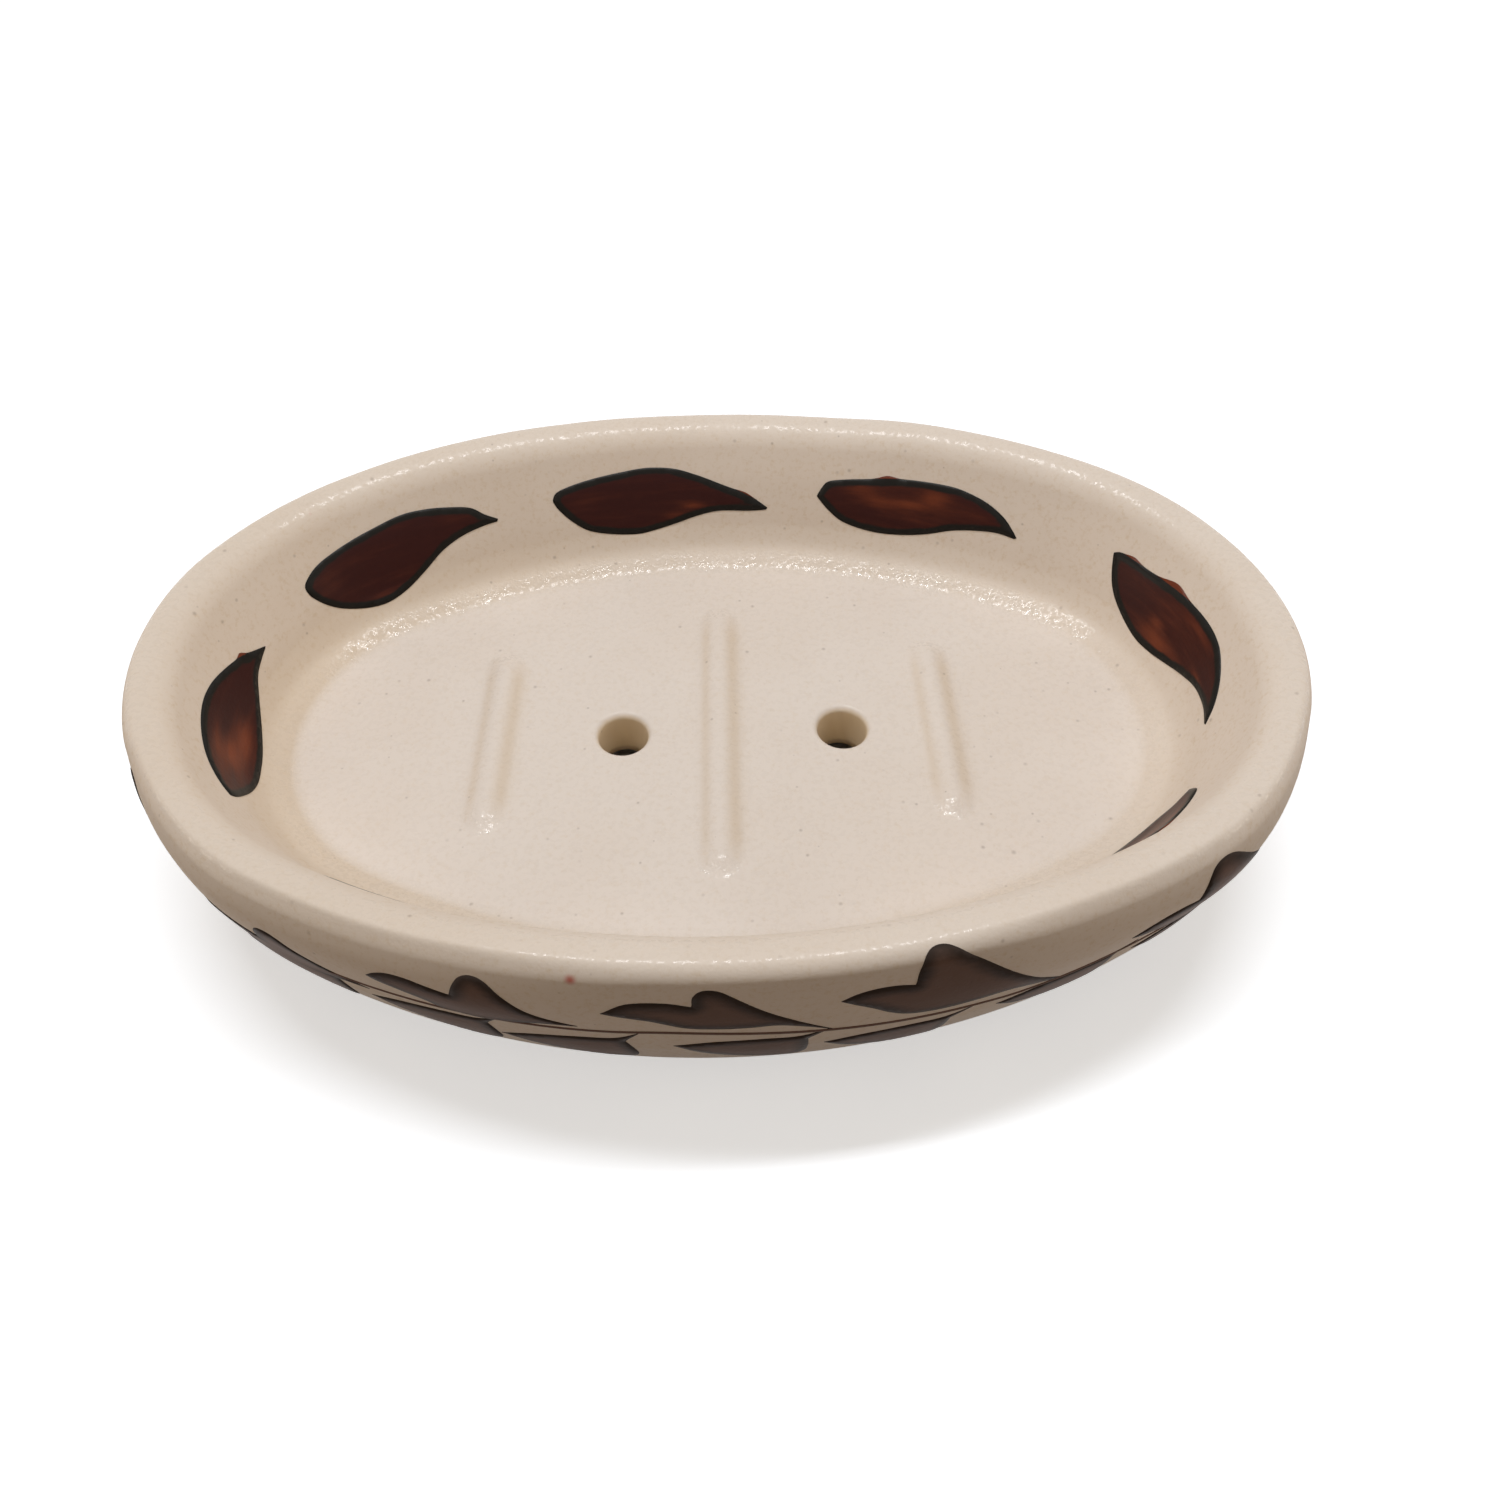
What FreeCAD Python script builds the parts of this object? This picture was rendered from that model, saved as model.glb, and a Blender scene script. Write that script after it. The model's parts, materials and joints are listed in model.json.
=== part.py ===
import FreeCAD, Part
import math
import os

Vector = FreeCAD.Vector
UP = Vector(0, 0, 1)

# Oval ceramic soap dish, in millimetres. It stands on z = 0, centred on the origin:
# X runs along the dish, Y across it and Z up.

# Overall sizes
dish_length = 130.0
dish_width = 87.0
rim_height = 27.0
end_radius = 36.0              # plan radius of the two round ends
cut_overrun = 1.0              # how far a cutter runs past what it cuts

# Wall ring: rolled lip, flared inner wall, round inner corner, outer wall that tucks in
lip_outer_radius = 1.8         # the lip turns crisply outside and rolls in softly
lip_inner_radius = 4.2
wall_lean_deg = 22.0
floor_corner_radius = 7.0
base_inset = 3.9
base_edge_radius = 2.5

# Floor slab, with two drain holes that sit a little off the middle
floor_thickness = 6.0
slab_margin = 0.6              # flat floor that belongs to the wall ring
drain_hole_diameter = 6.0
drain_hole_spacing = 26.5
drain_hole_shift = 1.5
drain_mouth_radius = 0.8

# Foot ring under the floor, with a half-round notch at each end to let water out
foot_height = 4.2
foot_width = 5.0
foot_slab_gap = 0.7            # from the floor slab out to the foot ring
foot_edge_radius = 1.2
foot_notch_radius = 2.6

# Soap ribs: low rounded bars across the floor
rib_width = 5.0
rib_height = 0.9
rib_spacing = 26.3
centre_rib_length = 42.2
side_rib_length = 28.2

# Inner leaves: thick glaze laid on the flared wall, tips pointing clockwise from above
inner_glaze_thickness = 0.3
inner_leaf_length = 27.5
inner_leaf_width = 8.8
inner_leaf_height_share = 0.34                 # centre of the leaves, up the straight wall
inner_leaf_place_shares = (0.507, 0.382, 0.271, 0.162, 0.024, 0.887, 0.764, 0.640)
inner_leaf_outline_shares = (
    ((-0.50, -0.12), (-0.33, 0.14), (0.00, 0.50), (0.34, 0.25), (0.50, 0.00)),
    ((0.50, 0.00), (0.37, -0.32), (0.16, -0.50), (-0.09, -0.32), (-0.28, -0.16), (-0.50, -0.12)),
)

# Outer vine: thinner glaze in two rows of lobed leaves, above and below a stem
vine_glaze_thickness = 0.25
vine_row_gap = 0.3             # bare clay between a row of leaves and the stem
vine_stem_width = 0.8
vine_stem_height_share = 0.53  # stem, up the outer wall

upper_leaf_count = 15
upper_leaf_length = 21.2
upper_leaf_width = 7.4
upper_leaf_place_share = 0.011                 # first leaf of the row, round the rim
upper_leaf_outline_shares = (
    ((-0.50, 0.08), (-0.36, 0.27), (-0.12, 0.21)),
    ((-0.12, 0.21), (-0.05, 0.50), (0.06, 0.38), (0.26, 0.00), (0.50, -0.44)),
    ((0.50, -0.44), (0.23, -0.38), (-0.20, -0.30), (-0.50, 0.08)),
)

lower_leaf_count = 21
lower_leaf_length = 15.6
lower_leaf_width = 8.2
lower_leaf_place_share = 0.040
lower_leaf_outline_shares = (
    ((-0.50, 0.04), (-0.24, 0.18), (0.06, 0.24), (0.31, 0.28), (0.50, 0.50)),
    ((0.50, 0.50), (0.41, 0.26), (0.35, 0.14)),
    ((0.35, 0.14), (0.39, -0.20), (0.31, -0.50), (0.04, -0.39), (-0.29, -0.18), (-0.50, 0.04)),
)


class Oval:
    """Plan of the dish: end and side arcs that meet tangent, so that each inset is made of arcs too."""

    def __init__(self, length, width, round_end):
        half_length = length / 2
        half_width = width / 2
        side_radius = (half_length**2 + half_width**2 - length * round_end) / (width - 2 * round_end)
        end_centre = Vector(half_length - round_end, 0, 0)
        side_centre = Vector(0, half_width - side_radius, 0)
        meet = math.degrees(math.atan2(-side_centre.y, end_centre.x))
        end_turn = 2 * meet
        side_turn = 180 - end_turn
        self.arcs = (
            (end_centre, round_end, -meet, end_turn),
            (side_centre, side_radius, meet, side_turn),
            (-end_centre, round_end, 180 - meet, end_turn),
            (-side_centre, side_radius, 180 + meet, side_turn),
        )
        self.arc_lengths = [radius * math.radians(turn) for _, radius, _, turn in self.arcs]
        self.rim_length = sum(self.arc_lengths)

    def plate(self, inset, bottom, thickness):
        """Flat plate with the outline of an inset."""
        edges = []
        for centre, radius, start, turn in self.arcs:
            edges.append(Part.makeCircle(radius - inset, centre, UP, start, start + turn))
        plate = Part.Face(Part.Wire(edges)).extrude(UP * thickness)
        plate.translate(UP * bottom)
        return plate

    def ring(self, section):
        """Section turned round all four arcs. Its x is outward from the rim's edge, its z the height."""
        pieces = []
        for centre, radius, start, turn in self.arcs:
            face = section.copy()
            face.translate(Vector(radius, 0, 0))
            face.rotate(Vector(), UP, start)
            face.translate(centre)
            pieces.append(face.revolve(centre, UP, turn))
        return pieces[0].multiFuse(pieces[1:]).removeSplitter()

    def place(self, share, point, uphill):
        """Frame on the wall at a share of the rim's length: x along the rim, y uphill in the section."""
        run = (share * self.rim_length + self.arc_lengths[0] / 2) % self.rim_length
        for (centre, radius, start, _), length in zip(self.arcs, self.arc_lengths):
            if run <= length:
                break
            run -= length
        angle = math.radians(start) + run / radius
        outward = Vector(math.cos(angle), math.sin(angle), 0)
        along = UP.cross(outward)
        rise = outward * uphill.x + UP * uphill.z
        origin = centre + outward * (radius + point.x) + UP * point.z
        return FreeCAD.Placement(origin, FreeCAD.Rotation(along, rise, along.cross(rise), "XYZ"))


def around(centre, radius, degrees):
    """Point of a circle in the section plane, counted from outward towards up."""
    angle = math.radians(degrees)
    return centre + Vector(math.cos(angle), 0, math.sin(angle)) * radius


def arc(centre, radius, start, end):
    middle = (start + end) / 2
    points = [around(centre, radius, degrees) for degrees in (start, middle, end)]
    return Part.Arc(*points).toShape()


def face(*edges):
    return Part.Face(Part.Wire(edges))


# Wall section, worked out from the sizes above
oval = Oval(dish_length, dish_width, end_radius)
floor_height = foot_height + floor_thickness
lean = math.radians(wall_lean_deg)
inward = 180 - wall_lean_deg                   # direction that the flared wall faces
facing = around(Vector(), 1, inward)
downhill = around(Vector(), 1, inward + 90)

lip_outer_centre = Vector(-lip_outer_radius, 0, rim_height - lip_outer_radius)
lip_inner_centre = Vector(-lip_outer_radius, 0, rim_height - lip_inner_radius)
lip_inner = around(lip_inner_centre, lip_inner_radius, inward)
drop_to_corner = lip_inner.z - floor_height - floor_corner_radius * (1 - math.sin(lean))
wall_run = drop_to_corner / math.cos(lean)     # straight part of the flared wall
corner_top = lip_inner + downhill * wall_run
corner_centre = corner_top + facing * floor_corner_radius
corner_foot = around(corner_centre, floor_corner_radius, -90)
slab_inset = slab_margin - corner_foot.x

outer_drop = lip_outer_centre.z - foot_height
outer_radius = (outer_drop**2 + base_inset**2) / (2 * base_inset)
outer_centre = Vector(-outer_radius, 0, lip_outer_centre.z)
edge_drop = outer_drop - base_edge_radius
edge_reach = math.sqrt((outer_radius - base_edge_radius)**2 - edge_drop**2)
edge_centre = outer_centre + Vector(edge_reach, 0, -edge_drop)
edge_start = math.degrees(math.atan2(-edge_drop, edge_reach))
outer_run = outer_radius * math.radians(-edge_start)


def wall_ring():
    under_edge = around(edge_centre, base_edge_radius, -90)
    slab_bottom = Vector(-slab_inset, 0, foot_height)
    slab_top = Vector(-slab_inset, 0, floor_height)
    section = face(
        arc(lip_inner_centre, lip_inner_radius, inward, 90),
        arc(lip_outer_centre, lip_outer_radius, 90, 0),
        arc(outer_centre, outer_radius, 0, edge_start),
        arc(edge_centre, base_edge_radius, edge_start, -90),
        Part.makeLine(under_edge, slab_bottom),
        Part.makeLine(slab_bottom, slab_top),
        Part.makeLine(slab_top, corner_foot),
        arc(corner_centre, floor_corner_radius, -90, -wall_lean_deg),
        Part.makeLine(corner_top, lip_inner),
    )
    return oval.ring(section)


def floor_slab():
    slab = oval.plate(slab_inset, foot_height, floor_thickness)
    hole_radius = drain_hole_diameter / 2
    for side in (-1, 1):
        x = drain_hole_shift + side * drain_hole_spacing / 2
        bottom = Vector(x, 0, foot_height - cut_overrun)
        slab = slab.cut(Part.makeCylinder(hole_radius, floor_thickness + 2 * cut_overrun, bottom))
    mouths = []
    for edge in slab.Edges:
        is_round = isinstance(edge.Curve, Part.Circle) and edge.isClosed()
        if is_round and edge.BoundBox.Center.z > foot_height + floor_thickness / 2:
            mouths.append(edge)
    return slab.makeFillet(drain_mouth_radius, mouths)


def foot_ring():
    inner_x = foot_slab_gap - slab_inset
    outer_x = inner_x + foot_width
    outer_edge = Vector(outer_x - foot_edge_radius, 0, foot_edge_radius)
    inner_edge = Vector(inner_x + foot_edge_radius, 0, foot_edge_radius)
    outer_top = Vector(outer_x, 0, foot_height)
    inner_top = Vector(inner_x, 0, foot_height)
    section = face(
        Part.makeLine(inner_top, outer_top),
        Part.makeLine(outer_top, around(outer_edge, foot_edge_radius, 0)),
        arc(outer_edge, foot_edge_radius, 0, -90),
        Part.makeLine(around(outer_edge, foot_edge_radius, -90), around(inner_edge, foot_edge_radius, -90)),
        arc(inner_edge, foot_edge_radius, -90, -180),
        Part.makeLine(around(inner_edge, foot_edge_radius, -180), inner_top),
    )
    notch = Part.makeCylinder(foot_notch_radius, dish_length, Vector(-dish_length / 2, 0, 0), Vector(1, 0, 0))
    return oval.ring(section).cut(notch)


def soap_rib(x, length):
    """Bar with ball ends, sunk so that a low dome of it stands on the floor."""
    half_width = rib_width / 2
    radius = (half_width**2 + rib_height**2) / (2 * rib_height)
    axis_height = floor_height + rib_height - radius
    half_bar = length / 2 - half_width
    near_end = Vector(x, -half_bar, axis_height)
    far_end = Vector(x, half_bar, axis_height)
    bar = Part.makeCylinder(radius, 2 * half_bar, near_end, far_end - near_end)
    for end in (near_end, far_end):
        bar = bar.fuse(Part.makeSphere(radius, end))
    corner = Vector(x - rib_width, -length, floor_height)
    above_floor = Part.makeBox(2 * rib_width, 2 * length, 2 * rib_height, corner)
    return bar.common(above_floor).removeSplitter()


def leaf_cutter(outline_shares, length, width, placement):
    """Prism with a leaf's outline. Each row of the outline is one smooth stretch between two corners."""
    edges = []
    for stretch in outline_shares:
        curve = Part.BSplineCurve()
        curve.interpolate([Vector(x * length, y * width, 0) for x, y in stretch])
        edges.append(curve.toShape())
    prism = face(*edges).extrude(UP * 2 * width)
    prism.translate(UP * -width)
    prism.Placement = placement.multiply(prism.Placement)
    return prism


def inner_leaves():
    """Glaze of even thickness on the flared wall and its corner, cut to one leaf at a time."""
    glaze_radius = floor_corner_radius - inner_glaze_thickness
    glaze_top = lip_inner + facing * inner_glaze_thickness
    glaze_corner = corner_top + facing * inner_glaze_thickness
    glaze_foot = around(corner_centre, glaze_radius, -90)
    glaze = oval.ring(face(
        Part.makeLine(lip_inner, corner_top),
        arc(corner_centre, floor_corner_radius, -wall_lean_deg, -90),
        Part.makeLine(corner_foot, glaze_foot),
        arc(corner_centre, glaze_radius, -90, -wall_lean_deg),
        Part.makeLine(glaze_corner, glaze_top),
        Part.makeLine(glaze_top, lip_inner),
    ))
    centre = corner_top - downhill * (wall_run * inner_leaf_height_share)
    leaves = []
    for share in inner_leaf_place_shares:
        placement = oval.place(share, centre, -downhill)
        cutter = leaf_cutter(inner_leaf_outline_shares, inner_leaf_length, inner_leaf_width, placement)
        leaves.append(glaze.common(cutter))
    return leaves


def vine_glaze(start, end):
    """Band of glaze on the outer wall between two directions of its arc."""
    glaze_radius = outer_radius + vine_glaze_thickness
    return oval.ring(face(
        arc(outer_centre, outer_radius, start, end),
        Part.makeLine(around(outer_centre, outer_radius, end), around(outer_centre, glaze_radius, end)),
        arc(outer_centre, glaze_radius, end, start),
        Part.makeLine(around(outer_centre, glaze_radius, start), around(outer_centre, outer_radius, start)),
    ))


def outer_direction(run):
    """Direction, from the centre of the outer wall's arc, of a point that lies so far down the wall."""
    return -math.degrees(run / outer_radius)


def vine_row(run, count, place_share, outline_shares, length, width):
    """Leaves cut from the glaze, so far down the outer wall and spread evenly round it."""
    direction = outer_direction(run)
    centre = around(outer_centre, outer_radius, direction)
    uphill = around(Vector(), 1, direction + 90)
    glaze = vine_glaze(0, edge_start)
    leaves = []
    for index in range(count):
        placement = oval.place(place_share + index / count, centre, uphill)
        cutter = leaf_cutter(outline_shares, length, width, placement)
        leaves.append(glaze.common(cutter))
    return Part.makeCompound(leaves)


def vine():
    stem_run = outer_run * (1 - vine_stem_height_share)
    half_stem = vine_stem_width / 2
    stem = vine_glaze(outer_direction(stem_run - half_stem), outer_direction(stem_run + half_stem))
    bare = half_stem + vine_row_gap
    upper = vine_row(
        stem_run - bare - upper_leaf_width / 2,
        upper_leaf_count, upper_leaf_place_share, upper_leaf_outline_shares,
        upper_leaf_length, upper_leaf_width,
    )
    lower = vine_row(
        stem_run + bare + lower_leaf_width / 2,
        lower_leaf_count, lower_leaf_place_share, lower_leaf_outline_shares,
        lower_leaf_length, lower_leaf_width,
    )
    return stem, upper, lower


def build():
    stem, upper_leaves, lower_leaves = vine()
    nodes = {
        "floor_slab": floor_slab(),
        "wall_ring": wall_ring(),
        "foot_ring": foot_ring(),
        "soap_rib_left": soap_rib(-rib_spacing, side_rib_length),
        "soap_rib_centre": soap_rib(0, centre_rib_length),
        "soap_rib_right": soap_rib(rib_spacing, side_rib_length),
        "vine_stem": stem,
        "vine_leaves_upper": upper_leaves,
        "vine_leaves_lower": lower_leaves,
    }
    for number, leaf in enumerate(inner_leaves(), start=1):
        nodes[f"inner_leaf_{number}"] = leaf
    return nodes


os.makedirs("parts", exist_ok=True)
for name, shape in build().items():
    shape.exportStep(f"parts/{name}.step")
    print(name, len(shape.Solids), shape.isValid(), round(shape.Volume, 2), shape.BoundBox)
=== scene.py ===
# %% [markdown]
# # A hand-made oval soap dish
#
# The real dish is one fired ceramic body: a flat floor, a flared wall with a rolled lip, three low ribs
# that keep the soap out of the water, two drain holes, and leaves painted in brown glaze inside and out.
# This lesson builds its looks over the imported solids. Everything is in metres and in the solids' own
# frame, so nothing needs fitting.

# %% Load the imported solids
import json
import math

import bmesh
import bpy
import numpy as np
from mathutils import Matrix, Vector
from mathutils.geometry import delaunay_2d_cdt

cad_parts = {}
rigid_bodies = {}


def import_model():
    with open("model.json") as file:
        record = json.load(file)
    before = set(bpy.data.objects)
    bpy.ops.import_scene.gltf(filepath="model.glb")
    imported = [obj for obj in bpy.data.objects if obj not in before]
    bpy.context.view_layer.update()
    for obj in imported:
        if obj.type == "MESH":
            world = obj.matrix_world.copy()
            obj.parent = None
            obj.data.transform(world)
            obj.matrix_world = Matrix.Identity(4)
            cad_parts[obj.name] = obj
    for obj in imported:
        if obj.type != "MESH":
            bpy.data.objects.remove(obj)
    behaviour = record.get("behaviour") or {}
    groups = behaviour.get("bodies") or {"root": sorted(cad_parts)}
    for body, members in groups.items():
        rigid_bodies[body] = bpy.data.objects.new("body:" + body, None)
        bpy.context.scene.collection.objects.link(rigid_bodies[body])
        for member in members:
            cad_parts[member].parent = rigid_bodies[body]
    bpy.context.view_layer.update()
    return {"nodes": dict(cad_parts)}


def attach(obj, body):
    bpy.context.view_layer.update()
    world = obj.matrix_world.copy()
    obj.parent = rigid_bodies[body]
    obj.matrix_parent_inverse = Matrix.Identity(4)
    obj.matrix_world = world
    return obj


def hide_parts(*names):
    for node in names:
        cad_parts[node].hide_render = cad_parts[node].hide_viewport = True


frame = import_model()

MM = 0.001
scene = bpy.context.scene

# %% [markdown]
# ## Camera
#
# The photograph looks down at the dish from about 48 degrees, quite close, so the near rim is clearly
# larger than the far one. A camera could be placed by eye. Here its distance, focal length and small roll
# were fitted to the outline, the ribs and the holes, and the frame is centred with the camera's shift,
# which keeps the perspective.

# %% Camera at the photograph's viewpoint
VIEW_TARGET = Vector((0, 0, 14 * MM))
VIEW_DISTANCE = 147.6 * MM
# angles in radians
VIEW_ELEVATION, VIEW_YAW, VIEW_ROLL = 0.8385, 0.0351, 0.0049

camera = bpy.data.objects.new("camera", bpy.data.cameras.new("camera"))
scene.collection.objects.link(camera)
scene.camera = camera
camera.data.sensor_width = 36
camera.data.lens = 29.906
camera.data.shift_x = 0.0197
camera.data.shift_y = -0.0269
camera.data.clip_start = 0.01
flat_share = math.cos(VIEW_ELEVATION)
to_camera = Vector((
    -flat_share * math.sin(VIEW_YAW),
    -flat_share * math.cos(VIEW_YAW),
    math.sin(VIEW_ELEVATION),
))
stand = Matrix.Translation(VIEW_TARGET + to_camera * VIEW_DISTANCE)
aim = (-to_camera).to_track_quat("-Z", "Y").to_matrix().to_4x4()
camera.matrix_world = stand @ aim @ Matrix.Rotation(-VIEW_ROLL, 4, "Z")
print("camera at, in mm:", [round(v / MM, 1) for v in camera.matrix_world.translation])

# %% [markdown]
# ## Helpers for node trees
#
# Both the geometry and the materials are node trees written in code. A few short helpers keep that
# readable: one adds a node and feeds its inputs with plain values or other nodes' outputs, and the others
# do arithmetic on numbers and vectors.

# %% Helpers for node trees
def feed(tree, socket, value):
    """Gives a socket a plain value, or links another node's output to it."""
    if isinstance(value, bpy.types.NodeSocket):
        tree.links.new(value, socket)
    else:
        socket.default_value = value


def add(tree, kind, inputs=None, **settings):
    """A new node. Inputs are given by name or number, settings are the node's own properties."""
    node = tree.nodes.new(kind)
    for name, value in settings.items():
        setattr(node, name, value)
    for name, value in (inputs or {}).items():
        feed(tree, node.inputs[name], value)
    return node


def calc(tree, operation, *values):
    """Arithmetic on numbers."""
    return add(tree, "ShaderNodeMath", dict(enumerate(values)), operation=operation).outputs[0]


def product(tree, first, *others):
    """All the numbers multiplied, one after the other."""
    for value in others:
        first = calc(tree, "MULTIPLY", first, value)
    return first


def between(tree, share, first, second):
    """A number on the way from a first value, at share 0, to a second, at share 1."""
    return calc(tree, "MULTIPLY_ADD", share, second - first, first)


def ramp(tree, value, start, end):
    """0 at start and 1 at end, eased at both; start may be the larger."""
    inputs = {"Value": value, "From Min": start, "From Max": end}
    return add(tree, "ShaderNodeMapRange", inputs, interpolation_type="SMOOTHSTEP").outputs[0]


def calc_vector(tree, operation, first, second=None):
    """Arithmetic on vectors. The second value of a scaling is a number, and so is a length."""
    inputs = {0: first}
    if second is not None:
        inputs["Scale" if operation == "SCALE" else 1] = second
    node = add(tree, "ShaderNodeVectorMath", inputs, operation=operation)
    return node.outputs["Value" if operation in ("LENGTH", "DISTANCE") else "Vector"]


def vector(tree, x=0.0, y=0.0, z=0.0):
    """A vector from three numbers."""
    return add(tree, "ShaderNodeCombineXYZ", {"X": x, "Y": y, "Z": z}).outputs[0]


def split(tree, whole):
    """The X, Y and Z of a vector."""
    return add(tree, "ShaderNodeSeparateXYZ", {0: whole}).outputs


def sockets(tree, inputs, outputs):
    """Names the inputs and outputs of a tree and gives its input and output nodes' sockets."""
    for direction, wanted in (("INPUT", inputs), ("OUTPUT", outputs)):
        for name, kind, *value in wanted:
            socket = tree.interface.new_socket(name, in_out=direction, socket_type=f"NodeSocket{kind}")
            if value:
                socket.default_value = value[0]
    return tree.nodes.new("NodeGroupInput").outputs, tree.nodes.new("NodeGroupOutput").inputs


print("helpers ready")

# %% [markdown]
# ## Light and floor
#
# The photograph has one lamp almost overhead in a warm, dim room: the floor of the dish is bright, the
# flared wall is a step darker and yellower, and the outer wall, which turns away from the lamp, is brown
# with shade. Its ends are lighter than its front, which gets the least light. A long, narrow lamp
# overhead, two faint ones at the sides and a weak warm world give the same steps. The ground is white to
# the camera and in reflections. To light that bounces it is a brown table, so it doesn't brighten the
# outer wall from below. Round the dish it glows a little, which keeps the shadow pale.

# %% Lamps
COOL, WARM = (0.97, 0.985, 1.0), (1.0, 0.88, 0.75)


def area_lamp(name, place, width, depth, watts, tint):
    """An area lamp that looks at the middle of the dish."""
    data = bpy.data.lights.new(name, "AREA")
    data.shape = "RECTANGLE"
    data.size, data.size_y = width, depth
    data.energy = watts
    data.color = tint
    made = bpy.data.objects.new(name, data)
    scene.collection.objects.link(made)
    aim = (VIEW_TARGET - Vector(place)).to_track_quat("-Z", "Y")
    made.matrix_world = Matrix.Translation(place) @ aim.to_matrix().to_4x4()
    made.visible_camera = False


area_lamp("overhead_lamp", (-0.01, 0.09, 0.62), width=0.42, depth=0.05, watts=2.27, tint=COOL)
for side in (-1, 1):
    area_lamp("side_lamp", (side * 0.54, -0.08, 0.12), width=0.30, depth=0.12, watts=0.45, tint=WARM)
print("lamps:", [light.name for light in bpy.data.lights])

# %% World
ROOM_COLOUR, ROOM_STRENGTH = (1.0, 0.84, 0.66, 1), 0.23
WHITE = (1, 1, 1, 1)


def background_rays(tree):
    """1 for rays that show the background: from the camera, a reflection or through glass."""
    path = add(tree, "ShaderNodeLightPath").outputs
    seen = calc(tree, "MAXIMUM", path["Is Camera Ray"], path["Is Glossy Ray"])
    return calc(tree, "MAXIMUM", seen, path["Is Transmission Ray"])


scene.view_settings.view_transform = "Standard"
scene.world = bpy.data.worlds.new("studio")
scene.world.use_nodes = True
tree = scene.world.node_tree
tree.nodes.clear()
room = add(tree, "ShaderNodeBackground", {"Color": ROOM_COLOUR, "Strength": ROOM_STRENGTH}).outputs[0]
white = add(tree, "ShaderNodeBackground", {"Color": WHITE, "Strength": 1.0}).outputs[0]
shown = add(tree, "ShaderNodeMixShader", {0: background_rays(tree), 1: room, 2: white}).outputs[0]
add(tree, "ShaderNodeOutputWorld", {"Surface": shown})
print("world:", scene.world.name)

# %% Ground
GROUND_HALF_SIDE = 3.0
TABLE, PAPER = (0.175, 0.115, 0.075, 1), (0.86, 0.90, 0.96, 1)
PAPER_GLOW = 0.52
# the oval under the dish that doesn't glow: half its length and width; the ground has no height
FOOTPRINT = (0.052, 0.032, 1.0)


def new_material(name):
    """An empty material and its node tree."""
    material = bpy.data.materials.new(name)
    material.use_nodes = True
    material.node_tree.nodes.clear()
    return material, material.node_tree


def plain_object(name, vertices, faces):
    """An object with a plain mesh."""
    mesh = bpy.data.meshes.new(name)
    mesh.from_pydata(vertices, [], faces)
    made = bpy.data.objects.new(name, mesh)
    scene.collection.objects.link(made)
    return made


half = GROUND_HALF_SIDE
corners = [(-half, -half, 0), (half, -half, 0), (half, half, 0), (-half, half, 0)]
ground = plain_object("ground", corners, [(0, 1, 2, 3)])
ground_paper, tree = new_material("ground_paper")
table = add(tree, "ShaderNodeBsdfDiffuse", {"Color": TABLE}).outputs[0]
paper = add(tree, "ShaderNodeBsdfDiffuse", {"Color": PAPER}).outputs[0]
place = add(tree, "ShaderNodeTexCoord").outputs["Object"]
reach = calc_vector(tree, "LENGTH", calc_vector(tree, "DIVIDE", place, FOOTPRINT))
glowing = calc(tree, "MULTIPLY", ramp(tree, reach, 0.95, 1.05), PAPER_GLOW)
glow = add(tree, "ShaderNodeEmission", {"Color": WHITE, "Strength": glowing}).outputs[0]
bright = add(tree, "ShaderNodeAddShader", {0: paper, 1: glow}).outputs[0]
shown = add(tree, "ShaderNodeMixShader", {0: background_rays(tree), 1: table, 2: bright}).outputs[0]
add(tree, "ShaderNodeOutputMaterial", {"Surface": shown})
ground.data.materials.append(ground_paper)
print("ground:", 2 * GROUND_HALF_SIDE, "m wide")

# %% [markdown]
# ## Effects that the glazes share
#
# All the glazes come out of the same kiln: each has a faint ripple on its skin that breaks up highlights,
# and tiny dark specks of iron are burnt into the cream. The brushed glazes show the streaks of the brush.
# Each effect is a node group that puts out a mask or a height, so that every material can use it with
# values of its own.

# %% Node groups for ripple, specks and brush streaks
def object_mm(tree):
    """Places on the object, in mm."""
    place = add(tree, "ShaderNodeTexCoord").outputs["Object"]
    return calc_vector(tree, "SCALE", place, 1 / MM)


def noise(tree, place, per_mm, detail=2.0, roughness=0.5):
    """Cloudy noise, around 0.5."""
    inputs = {"Vector": place, "Scale": per_mm, "Detail": detail, "Roughness": roughness}
    return add(tree, "ShaderNodeTexNoise", inputs).outputs["Fac"]


glaze_ripple = bpy.data.node_groups.new("glaze_ripple", "ShaderNodeTree")
given, result = sockets(
    glaze_ripple,
    [("Ripples per mm", "Float", 2.4), ("Swells per mm", "Float", 0.05)],
    [("Height", "Float"), ("Swell", "Float")],
)
place = object_mm(glaze_ripple)
ripple = noise(glaze_ripple, place, given["Ripples per mm"], detail=1.5, roughness=0.6)
feed(glaze_ripple, result["Height"], ripple)
feed(glaze_ripple, result["Swell"], noise(glaze_ripple, place, given["Swells per mm"]))

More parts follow.
